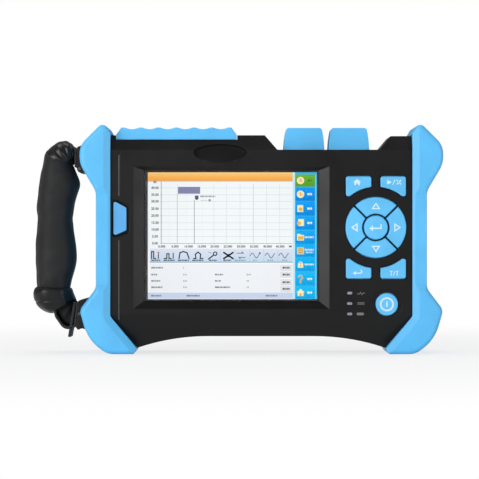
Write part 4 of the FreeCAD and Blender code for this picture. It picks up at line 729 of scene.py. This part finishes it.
# Shapes of each key's sign, in millimetres from the middle of the round pad, or of the power key
KEY_SIGNS = {}
for key, ahead in (("key_up", Vector((0.0, 1.0))), ("key_right", Vector((1.0, 0.0))),
                   ("key_down", Vector((0.0, -1.0))), ("key_left", Vector((-1.0, 0.0)))):
    half = Vector((-ahead.y, ahead.x)) * ARROW_HALF
    foot = ahead * ARROW_FOOT
    KEY_SIGNS[key] = ((Print.outline, [ahead * ARROW_TIP, foot + half, foot - half], ARROW_LINE),)
KEY_SIGNS |= {
    "key_home": (
        (Print.polygon, [(-15.6, 30.7), (-12.8, 33.0), (-10.0, 30.7)]),
        (Print.bar, -14.7, 28.7, -13.4, 30.7),
        (Print.bar, -12.2, 28.7, -10.9, 30.7), (Print.bar, -13.4, 29.8, -12.2, 30.7)),
    "key_run": (
        (Print.polygon, [(7.6, 29.1), (10.9, 30.7), (7.6, 32.4)]),
        (Print.stroke, [(11.5, 29.3), (12.9, 32.2)], 0.55),
        (Print.stroke, [(14.3, 29.5), (16.8, 32.0)], 0.75),
        (Print.stroke, [(14.3, 32.0), (15.2, 31.1)], 0.75),
        (Print.stroke, [(15.9, 30.4), (16.8, 29.5)], 0.75)),
    "key_escape": (
        (Print.polygon, [(-15.8, -31.0), (-13.6, -29.5), (-13.6, -32.5)]),
        (Print.bar, -13.6, -31.4, -10.6, -30.6),
        (Print.ring, -10.6, -30.0, 1.4, 0.6, -90.0, 180.0)),
    "key_cursor": (
        (Print.bar, 10.05, -32.6, 10.75, -30.4),
        (Print.polygon, [(9.3, -29.4), (10.4, -30.8), (11.5, -29.4)]),
        (Print.bar, 14.05, -32.6, 14.75, -30.4),
        (Print.polygon, [(13.3, -29.4), (14.4, -30.8), (15.5, -29.4)]),
        (Print.stroke, [(11.9, -32.4), (12.9, -29.8)], 0.5)),
    "key_enter": (
        (Print.polygon, [(-4.6, -0.6), (-2.0, 1.4), (-2.0, -2.6)]), (Print.bar, -2.0, -1.1, 3.9, -0.1),
        (Print.bar, 3.0, -0.1, 3.9, 2.2)),
    "key_power": ((Print.ring, 0.0, 0.0, 4.8, 3.6, 0.0, 360.0), (Print.bar, -0.5, -1.7, 0.5, 1.9)),
}


def key_signs():
    """Each key's sign on its crown: arrows, house, start and stop, back, cursors, return and power."""
    for key, marks in KEY_SIGNS.items():
        middle = middle_of("key_power" if key == "key_power" else "key_enter")
        sign = Print((middle.x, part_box(key)[0].y, middle.z), MM, INK_FILM)
        for draw, *sizes in marks:
            draw(sign, *sizes, LEGEND)
        sign.finish(key + "_sign", key, "blue_keys")


def light_signs():
    """Small signs beside the status lights: a fibre's pulse, a running test and a cell."""
    middle = middle_of("status_light_pipes")
    signs = Print((middle.x + 7.7 * MM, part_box("front_shell")[0].y, middle.z), MM, INK_FILM)
    signs.stroke([(-2.4, 6.5), (-1.0, 6.5), (-0.4, 7.8), (0.6, 5.9), (1.2, 7.1), (2.4, 7.1)], 0.45, FAINT)
    for across in (-2.2, -0.6, 1.0):
        box = [(across, -0.8), (across + 1.2, -0.8), (across + 1.2, 0.8), (across, 0.8)]
        signs.outline(box, 0.3, FAINT)
    signs.bar(-2.8, -8.0, 1.6, -6.2, FAINT)
    signs.bar(1.6, -7.5, 2.1, -6.7, FAINT)
    signs.finish("status_light_signs", "housing", "black_housing")


def crease_beads():
    """Pale satin beads that lie in the two creases down the left of the face; their pale colour is a
    painted highlight along the creases.
    """
    face_low, face_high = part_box("front_shell")
    badge_low, badge_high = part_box("badge_insert")
    gap, foot, head = 3.4 * MM, 19.2 * MM, 13.4 * MM
    wide, thick, rounding = 0.8 * MM, 0.3 * MM, 0.1 * MM
    shape = bmesh.new()
    for bottom, top in ((face_low.z + foot, badge_low.z - gap), (badge_high.z + gap, face_high.z - head)):
        middle = Vector((face_low.x + 9.2 * MM, face_low.y + 0.32 * MM, (bottom + top) / 2))
        size = Matrix.Diagonal((wide, thick, top - bottom, 1.0))
        bmesh.ops.create_cube(shape, size=1.0, matrix=Matrix.Translation(middle) @ size)
    bmesh.ops.bevel(shape, geom=shape.edges, offset=rounding, affect="EDGES", segments=2,
                    profile=0.5, material=-1)
    dress_piece(object_from("crease_beads", shape, [FINISHES["painted_highlight_bead"]]), "housing")


display_picture()
key_signs()
light_signs()
crease_beads()


# ---------------------------------------------------------------- padded hand strap

HALF_BODY = 123.5 * MM
SHIFT = cad_box[1].x - HALF_BODY
AROUND = 48
SQUARENESS = 2.6
PAD_MIDDLE = -141.6
FOAM_CLOTH = {"quality": 6, "use_pressure": True, "tension_stiffness": 12.0, "compression_stiffness": 12.0,
              "shear_stiffness": 6.0, "bending_stiffness": 0.6}


def strap_spot(across, up, forward=0.0):
    """A place from millimetres: across and up from the housing's middle and foot, towards the back."""
    return Vector((across * MM + SHIFT, forward * MM, up * MM))


def smooth_rows(rows, step):
    """Rows of numbers along a curve through all of them, about step millimetres apart."""
    fine = []
    for number in range(len(rows) - 1):
        four = [rows[min(max(number + k, 0), len(rows) - 1)] for k in (-1, 0, 1, 2)]
        gap = max(math.dist(four[1][:2], four[2][:2]), math.dist(four[1][2:4], four[2][2:4]))
        count = max(1, round(gap / step))
        for n in range(count):
            t = n / count
            weights = (-0.5 * t + t * t - 0.5 * t ** 3, 1 - 2.5 * t * t + 1.5 * t ** 3,
                       0.5 * t + 2 * t * t - 1.5 * t ** 3, -0.5 * t * t + 0.5 * t ** 3)
            fine.append([sum(w * row[k] for w, row in zip(weights, four)) for k in range(len(rows[0]))])
    return fine + [list(rows[-1])]


def sleeve_ring(row, shrink=0.0):
    """A ring from its outer point, inner point and half depth, in millimetres."""
    outer_x, outer_z, inner_x, inner_z, depth = row
    middle = Vector(((outer_x + inner_x) / 2, (outer_z + inner_z) / 2))
    half = Vector((inner_x, inner_z)) - middle
    half *= 1 - shrink / half.length
    ring = []
    for n in range(AROUND):
        turn = 2 * math.pi * n / AROUND
        across, forward = (math.copysign(abs(part) ** (2 / SQUARENESS), part)
                           for part in (math.cos(turn), math.sin(turn)))
        spot = middle + half * across
        ring.append(strap_spot(spot.x, spot.y, (depth - shrink) * forward))
    return ring


def tube(name, rings, finish):
    """A closed tube: a circle set to the first ring and drawn out to each of the others in turn."""
    shape = bmesh.new()
    rim = bmesh.ops.create_circle(shape, cap_ends=True, segments=AROUND, radius=MM)["verts"]
    rim.sort(key=lambda corner: math.atan2(corner.co.y, corner.co.x) % (2 * math.pi - 1e-4))
    for corner, spot in zip(rim, rings[0]):
        corner.co = spot
    edges = list(shape.edges)
    for ring in rings[1:]:
        grown = bmesh.ops.extrude_edge_only(shape, edges=edges)["geom"]
        edges = of_kind(grown, bmesh.types.BMEdge)
        by_place = {tuple(corner.co): corner for corner in of_kind(grown, bmesh.types.BMVert)}
        rim = [by_place[tuple(corner.co)] for corner in rim]
        for corner, spot in zip(rim, ring):
            corner.co = spot
    bmesh.ops.holes_fill(shape, edges=edges)
    return object_from(name, shape, [FINISHES[finish]])


def puffed(piece, pins, pressure, frames, reach):
    """Cloth blown up from inside with its pinned corners held; no point moves further than reach."""
    before = [corner.co.copy() for corner in piece.data.vertices]
    held = piece.vertex_groups.new(name="held")
    held.add(pins, 1.0, "REPLACE")
    cloth = piece.modifiers.new("cloth", "CLOTH")
    set_all(cloth.settings, FOAM_CLOTH)
    cloth.settings.uniform_pressure_force = pressure
    cloth.settings.effector_weights.gravity = 0.0
    cloth.settings.vertex_group_mass = "held"
    cloth.point_cache.frame_start, cloth.point_cache.frame_end = 1, frames
    for number in range(1, frames + 1):
        scene.frame_set(number)
    moved = piece.evaluated_get(bpy.context.evaluated_depsgraph_get())
    after = [corner.co.copy() for corner in moved.data.vertices]
    piece.modifiers.clear()
    scene.frame_set(1)
    piece.vertex_groups.clear()
    for corner, start, end in zip(piece.data.vertices, before, after):
        way = end - start
        corner.co = start + way * min(1.0, reach / max(way.length, 1e-9))


def finer(piece):
    """One subdivision, put into the mesh."""
    smooth = piece.modifiers.new("finer", "SUBSURF")
    smooth.levels = smooth.render_levels = 1
    bpy.context.view_layer.update()
    mesh = bpy.data.meshes.new_from_object(piece.evaluated_get(bpy.context.evaluated_depsgraph_get()))
    piece.modifiers.clear()
    piece.data = mesh


def push_out(piece, depth_at):
    """Moves each point along its normal by depth_at(place across, up, turn round the pad)."""
    normals = [corner.normal.copy() for corner in piece.data.vertices]
    middle = strap_spot(PAD_MIDDLE, 0.0)
    for corner, normal in zip(piece.data.vertices, normals):
        across, up = (corner.co.x - SHIFT) / MM, corner.co.z / MM
        turn = math.atan2(corner.co.y, corner.co.x - middle.x)
        corner.co += normal * (depth_at(across, up, turn) * MM)


def finish_cloth(piece, folds, fill):
    """Presses the folds into a sewn piece and attaches it to the housing."""
    finer(piece)
    push_out(piece, folds)
    smooth_faces(piece)
    dress_piece(piece, "housing")
    return piece


def hump(value, middle, width):
    """A smooth hump of height 1 round a middle."""
    share = abs(value - middle) / width
    return 0.5 + 0.5 * math.cos(math.pi * share) if share < 1 else 0.0


# Outer point, inner point and half depth of each ring, from the top down
PAD_ROWS = (
    (-148.4, 138.2, -132.4, 132.2, 13.8), (-149.6, 137.2, -130.4, 130.4, 15.4),
    (-150.1, 134.6, -129.0, 128.4, 16.2), (-150.9, 130.4, -127.9, 126.0, 16.8),
    (-151.9, 125.6, -126.4, 122.4, 17.2), (-152.9, 120.4, -124.8, 118.6, 17.6),
    (-153.6, 115.4, -124.5, 114.8, 17.9), (-154.3, 109.9, -126.2, 109.9, 18.0),
    (-154.8, 104.9, -127.8, 104.9, 17.9), (-155.2, 99.3, -128.9, 99.6, 17.6),
    (-154.4, 91.4, -129.7, 91.4, 17.3), (-154.8, 84.5, -129.2, 84.5, 17.5),
    (-155.8, 77.8, -128.1, 77.8, 17.8), (-156.0, 70.5, -127.0, 70.5, 18.0),
    (-156.0, 63.5, -126.9, 63.5, 18.0), (-155.6, 56.5, -128.1, 57.0, 17.7),
    (-155.4, 49.5, -130.3, 50.0, 17.0), (-154.9, 44.0, -131.2, 45.0, 16.0),
    (-152.0, 39.0, -132.0, 41.0, 14.5))
CUFF_ROWS = (
    (-154.4, 45.4, -131.8, 44.8, 15.9), (-155.7, 44.8, -130.8, 43.8, 17.0),
    (-156.7, 43.2, -130.3, 42.8, 17.6), (-157.2, 40.8, -130.1, 41.8, 17.7),
    (-157.0, 37.8, -129.7, 40.8, 17.5), (-155.5, 34.0, -129.2, 39.6, 17.1),
    (-153.4, 31.2, -128.8, 38.8, 16.6), (-150.2, 28.8, -128.5, 38.1, 16.0),
    (-146.9, 27.4, -128.3, 37.5, 15.2), (-144.3, 26.9, -128.2, 37.0, 14.2),
    (-143.0, 27.6, -128.6, 36.4, 12.0))
GUSSET_ROWS = (
    (-145.0, 29.0, -128.4, 37.4, 10.4), (-141.4, 25.6, -127.2, 35.0, 10.2),
    (-139.0, 22.4, -126.8, 32.0, 10.0), (-136.4, 19.6, -126.6, 28.6, 9.9),
    (-133.6, 18.2, -126.6, 25.0, 9.8), (-130.8, 18.2, -126.8, 21.6, 9.6))
BINDING_ROWS = (
    (-148.6, 133.6, -130.4, 128.0, 14.4), (-148.9, 137.0, -129.6, 129.4, 15.0),
    (-147.6, 139.4, -129.2, 129.8, 14.9), (-144.6, 142.0, -129.0, 130.2, 14.6),
    (-140.4, 145.0, -128.9, 130.7, 14.0), (-136.4, 146.0, -128.8, 131.2, 13.3),
    (-133.0, 145.5, -128.7, 131.8, 12.7), (-130.4, 144.0, -128.6, 132.6, 12.1),
    (-128.9, 141.8, -128.4, 133.6, 11.6))
STITCH_HALVES = (0.65 * MM, 0.22 * MM, 0.16 * MM)
STITCH_LIFT = 0.05 * MM


def pad_folds(across, up, turn):
    side = abs(math.sin(turn))
    gathered = 0.20 * math.sin(turn * 17) * hump(up, 137, 10)
    pulled = 0.22 * math.sin(turn * 11 + 1) * hump(up, 47, 10)
    creased = -0.35 * hump(up, 91 + 3 * math.sin(turn * 2), 5) * (1 - side)
    slack = 0.14 * math.sin(up * 0.5 + 2.3 * math.sin(turn * 2)) * side
    welt = 0.45 * hump(turn, -2.62, 0.09) + 0.45 * hump(turn, 2.62, 0.09)
    return gathered + pulled + creased + slack + welt


def cuff_folds(across, up, turn):
    left = hump(across, -150, 22)
    crease = -0.55 * hump(up, 36.2 + 0.10 * (across + 142), 0.9) * left
    second = -0.45 * hump(up, 31.4 - 0.08 * (across + 142), 0.8) * hump(across, -141, 12)
    slack = 0.35 * math.sin(across * 1.1 + up * 0.5) * hump(up, 36, 9) * hump(across, -131, 9)
    return crease + second + slack + 0.16 * math.sin(turn * 9)


def upper_pleats(across, up, turn):
    radial = math.hypot(across + 129, up - 130)
    angle = math.atan2(up - 130, across + 129)
    pleats = 0.30 * math.sin(angle * 11 + 1.6 * math.sin(angle * 3)) * hump(radial, 12, 10)
    return pleats + 0.12 * math.sin(angle * 23 + radial * 0.9 + turn * 2)


def lower_pleats(across, up, turn):
    return 0.25 * math.sin(math.atan2(up - 38, across + 127) * 14)


def grip_pad():
    """The padded sleeve: knitted cloth over foam, sewn along its outer and inner sides."""
    rings = [sleeve_ring(row, 0.7) for row in smooth_rows(PAD_ROWS, 2.4)]
    pad = tube("grip_pad", rings, "foam_grip")
    ends = (0, 1, len(rings) - 2, len(rings) - 1)
    held = []
    for level in range(len(rings)):
        held += [level * AROUND + n for n in (range(AROUND) if level in ends else (0, AROUND // 2))]
    puffed(pad, held, pressure=14.0, frames=16, reach=1.6 * MM)
    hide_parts("hand_strap_grip")
    return finish_cloth(pad, pad_folds, 0.85)


def gathered(name, rows, step, finish, folds, fill):
    """Cloth drawn in from an end of the sleeve: the cuff, or a gathered end at its bar."""
    piece = tube(name, [sleeve_ring(row) for row in smooth_rows(rows, step)], finish)
    return finish_cloth(piece, folds, fill)


def stitches(name, piece, row):
    """A row of thread stitches laid on a piece along a ring, each from one place towards the next."""
    shape = bmesh.new()
    places = sleeve_ring(row)
    for start, end in zip(places, places[1:] + places[:1]):
        _, spot, normal, _ = piece.closest_point_on_mesh((start + end) / 2)
        along = (end - start).normalized()
        side = normal.cross(along).normalized()
        turned = Matrix((along, side, normal)).transposed().to_4x4()
        size = Matrix.Diagonal(Vector(STITCH_HALVES).to_4d())
        stand = Matrix.Translation(spot + normal * STITCH_LIFT) @ turned @ size
        bmesh.ops.create_icosphere(shape, subdivisions=1, radius=1.0, matrix=stand)
    thread = object_from(name, shape, [FINISHES["thread"]])
    smooth_faces(thread)
    dress_piece(thread, "housing")


def eased_path(points, step):
    """A path through the corners, each rounded by its radius; points are (across, up, radius)."""
    line = [Vector(points[0][:2])]
    for before, spot, after in zip(points, points[1:], points[2:]):
        corner, radius = Vector(spot[:2]), spot[2]
        back = (Vector(before[:2]) - corner).normalized()
        ahead = (Vector(after[:2]) - corner).normalized()
        half = back.angle(ahead) / 2
        trim = radius / math.tan(half)
        centre = corner + (back + ahead).normalized() * (radius / math.sin(half))
        first, last = corner + back * trim - centre, corner + ahead * trim - centre
        turn = first.angle_signed(last)
        count = max(2, round(abs(turn) * radius / step))
        for n in range(count + 1):
            line.append(centre + Matrix.Rotation(-turn * n / count, 2) @ first)
    line.append(Vector(points[-1][:2]))
    fine = [line[0]]
    for start, end in zip(line, line[1:]):
        count = max(1, round((end - start).length / step))
        fine += [start.lerp(end, (n + 1) / count) for n in range(count)]
    return fine


def band(shape, path, thickness):
    """Flat woven band: its section drawn out and turned along a path, with a map in metres."""
    quarter = [(-WEB_HALF, 0.25), (-WEB_HALF + 0.6, 0.5), (-WEB_HALF + 1.6, 0.44)]
    upper = quarter + [(-forward, out) for forward, out in quarter[::-1]]
    section = upper + [(forward, -out) for forward, out in upper[::-1]]
    headings = []
    for number in range(len(path)):
        way = path[min(len(path) - 1, number + 1)] - path[max(0, number - 1)]
        headings.append(math.atan2(way.y, way.x))
    side = Vector((-math.sin(headings[0]), math.cos(headings[0])))
    corners = [shape.verts.new(strap_spot(*(path[0] + side * out * thickness), forward))
               for forward, out in section]
    rim, run = list(shape.faces.new(corners).edges), 0.0
    run_at = dict.fromkeys(corners, run)
    for number in range(1, len(path)):
        grown = bmesh.ops.extrude_edge_only(shape, edges=rim)["geom"]
        rim, corners = of_kind(grown, bmesh.types.BMEdge), of_kind(grown, bmesh.types.BMVert)
        step = path[number] - path[number - 1]
        bmesh.ops.translate(shape, verts=corners, vec=(step.x * MM, 0.0, step.y * MM))
        turn = Matrix.Rotation(headings[number - 1] - headings[number], 3, "Y")
        bmesh.ops.rotate(shape, verts=corners, cent=strap_spot(*path[number]), matrix=turn)
        run += step.length * MM
        run_at.update(dict.fromkeys(corners, run))
    bmesh.ops.holes_fill(shape, edges=rim)
    uv = shape.loops.layers.uv.verify()
    for face in shape.faces:
        for loop in face.loops:
            if loop.vert in run_at:
                loop[uv].uv = (loop.vert.co.y, run_at[loop.vert])


# Half the band's width; its corners with their radii: the web itself, its loose tail, and the turns
# round the upper and the lower bar
WEB_HALF = 11.0
WEB_STEP = 1.2
WEB_PATH = ((-127.3, 127.6, 0), (-127.3, 141.6, 3.2), (-137.0, 141.4, 5.0), (-142.0, 124.0, 12.0),
            (-142.0, 40.0, 10.0), (-141.2, 25.4, 7.0), (-135.0, 16.8, 5.0), (-127.8, 17.8, 3.0),
            (-125.9, 34.6, 0))
TURN_PATHS = (((-127.9, 34.8, 0), (-129.5, 24.0, 60.0), (-131.8, 11.0, 0)),
              ((-125.6, 139.6, 0), (-125.7, 124.5, 1.8), (-122.6, 124.7, 0)),
              ((-126.4, 17.0, 0), (-125.6, 25.7, 1.8), (-122.6, 25.7, 0)),
              ((-125.3, 34.4, 0), (-125.4, 30.0, 60.0), (-125.6, 24.6, 0)))


def webbing():
    """The strap's woven band, up over the hook, through the sleeve and round the lower bar."""
    shape = bmesh.new()
    band(shape, eased_path(WEB_PATH, WEB_STEP), 1.8)
    for path in TURN_PATHS:
        band(shape, eased_path(path, WEB_STEP), 1.9)
    strap = object_from("strap_band", shape, [FINISHES["webbing"]])
    smooth_faces(strap)
    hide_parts("strap_webbing")
    dress_piece(strap, "housing")


def hand_strap():
    pad = grip_pad()
    cuff = gathered("grip_cuff", CUFF_ROWS, 0.9, "cuff", cuff_folds, 0.7)
    gathered("grip_binding", BINDING_ROWS, 1.0, "binding", upper_pleats, 0.5)
    # the gusset takes the near-black cloth of painted shade between the strap's layers
    gathered("grip_gusset", GUSSET_ROWS, 1.0, "painted_shade_lining", lower_pleats, 0.5)
    stitches("pad_stitches", pad, PAD_ROWS[2])
    stitches("cuff_stitches", cuff, CUFF_ROWS[3])
    webbing()


hand_strap()


# ---------------------------------------------------------------- stage, lights, camera

FLOOR_HALF = 6.0
FLOOR_WHITE = grey(0.88)
KEEPS_SHADOW, ALL_WHITE = 0.10, 0.60  # metres from the middle of the floor
NEAR_WHITE = 0.74  # share of plain white that a camera sees near the object
SOFT_LIGHT = 0.25
CAMERA_DISTANCE, FRAME_WIDTH, SENSOR_WIDTH, CAMERA_ASIDE = 1.5, 0.3246, 36.0, 0.0004
# Place, size and power of each softbox
SOFTBOXES = {
    "softbox_front": ((-1.35, -2.3, 0.65), (1.5, 1.3), 32.0),
    "softbox_left": ((-1.25, -1.1, 0.2), (0.4, 0.9), 12.0),
    "softbox_right": ((1.25, -1.1, 0.2), (0.4, 0.9), 9.5),
    "softbox_top": ((0.0, 0.2, 1.5), (1.4, 0.6), 9.0),
}


def either(tree, first, second):
    return math_node(tree, "MAXIMUM", first, second)


def mix_shaders(tree, share, first, second, output):
    """Sends a blend of two shaders to the tree's output."""
    mix = place(tree, "MixShader", {}, {0: share, 1: first.outputs[0], 2: second.outputs[0]})
    feed(tree, tree.nodes[output], Surface=mix.outputs[0])


def floor_paper():
    """Pale surface that keeps the object's shadow, and that a camera sees white further away."""
    tree, shader = start_finish("floor_paper", Roughness=0.9, Specular_IOR_Level=0.1)
    drift = mapped(tree, noise_value(tree, 2.0), 0.3, 0.7, 0.985, 1.0)
    feed(tree, shader, Base_Color=vector_node(tree, "SCALE", {0: FLOOR_WHITE, "Scale": drift})["Vector"])
    glow = place(tree, "Emission", {}, {"Color": grey(1.0), "Strength": 1.0})
    path = place(tree, "LightPath").outputs
    seen = either(tree, path["Is Camera Ray"],
                  either(tree, path["Is Glossy Ray"], path["Is Transmission Ray"]))
    away = vector_node(tree, "LENGTH", {0: object_place(tree)})["Value"]
    share = mapped(tree, away, KEEPS_SHADOW, ALL_WHITE, NEAR_WHITE, 1.0, "SMOOTHSTEP")
    mix_shaders(tree, math_node(tree, "MULTIPLY", seen, share), shader, glow, "Material Output")


def build_floor():
    floor_paper()
    shape = bmesh.new()
    bmesh.ops.create_grid(shape, x_segments=1, y_segments=1, size=FLOOR_HALF)
    object_from("floor", shape, [FINISHES["floor_paper"]])


def build_world():
    """Soft light from all round, in front of plain white."""
    world = scene.world = bpy.data.worlds.new("studio")
    world.use_nodes = True
    tree = world.node_tree
    soft = tree.nodes["Background"]
    feed(tree, soft, Color=(0.96, 0.98, 1.0), Strength=SOFT_LIGHT)
    white = place(tree, "Background", {}, {"Color": grey(1.0), "Strength": 1.0})
    path = place(tree, "LightPath").outputs
    seen = either(tree, path["Is Camera Ray"], path["Is Transmission Ray"])
    mix_shaders(tree, seen, soft, white, "World Output")


def build_light(name, spot, size, power):
    lamp = bpy.data.lights.new(name, "AREA")
    lamp.shape = "RECTANGLE"
    lamp.size, lamp.size_y = size
    lamp.energy = power
    light = new_object(name, lamp)
    light.location = spot
    way = (cad_box[0] + cad_box[1]) / 2 - Vector(spot)
    light.rotation_euler = way.to_track_quat("-Z", "Y").to_euler()


def build_camera():
    middle = (cad_box[0] + cad_box[1]) / 2
    camera = bpy.data.cameras.new("camera")
    camera.sensor_width = SENSOR_WIDTH
    camera.lens = SENSOR_WIDTH * CAMERA_DISTANCE / FRAME_WIDTH
    eye = scene.camera = new_object("camera", camera)
    eye.location = (middle.x + CAMERA_ASIDE, cad_box[0].y - CAMERA_DISTANCE, middle.z)
    eye.rotation_euler = (math.pi / 2, 0.0, 0.0)


build_floor()
build_world()
for name, (spot, size, power) in SOFTBOXES.items():
    build_light(name, spot, size, power)
build_camera()
scene.view_settings.view_transform = "Standard"
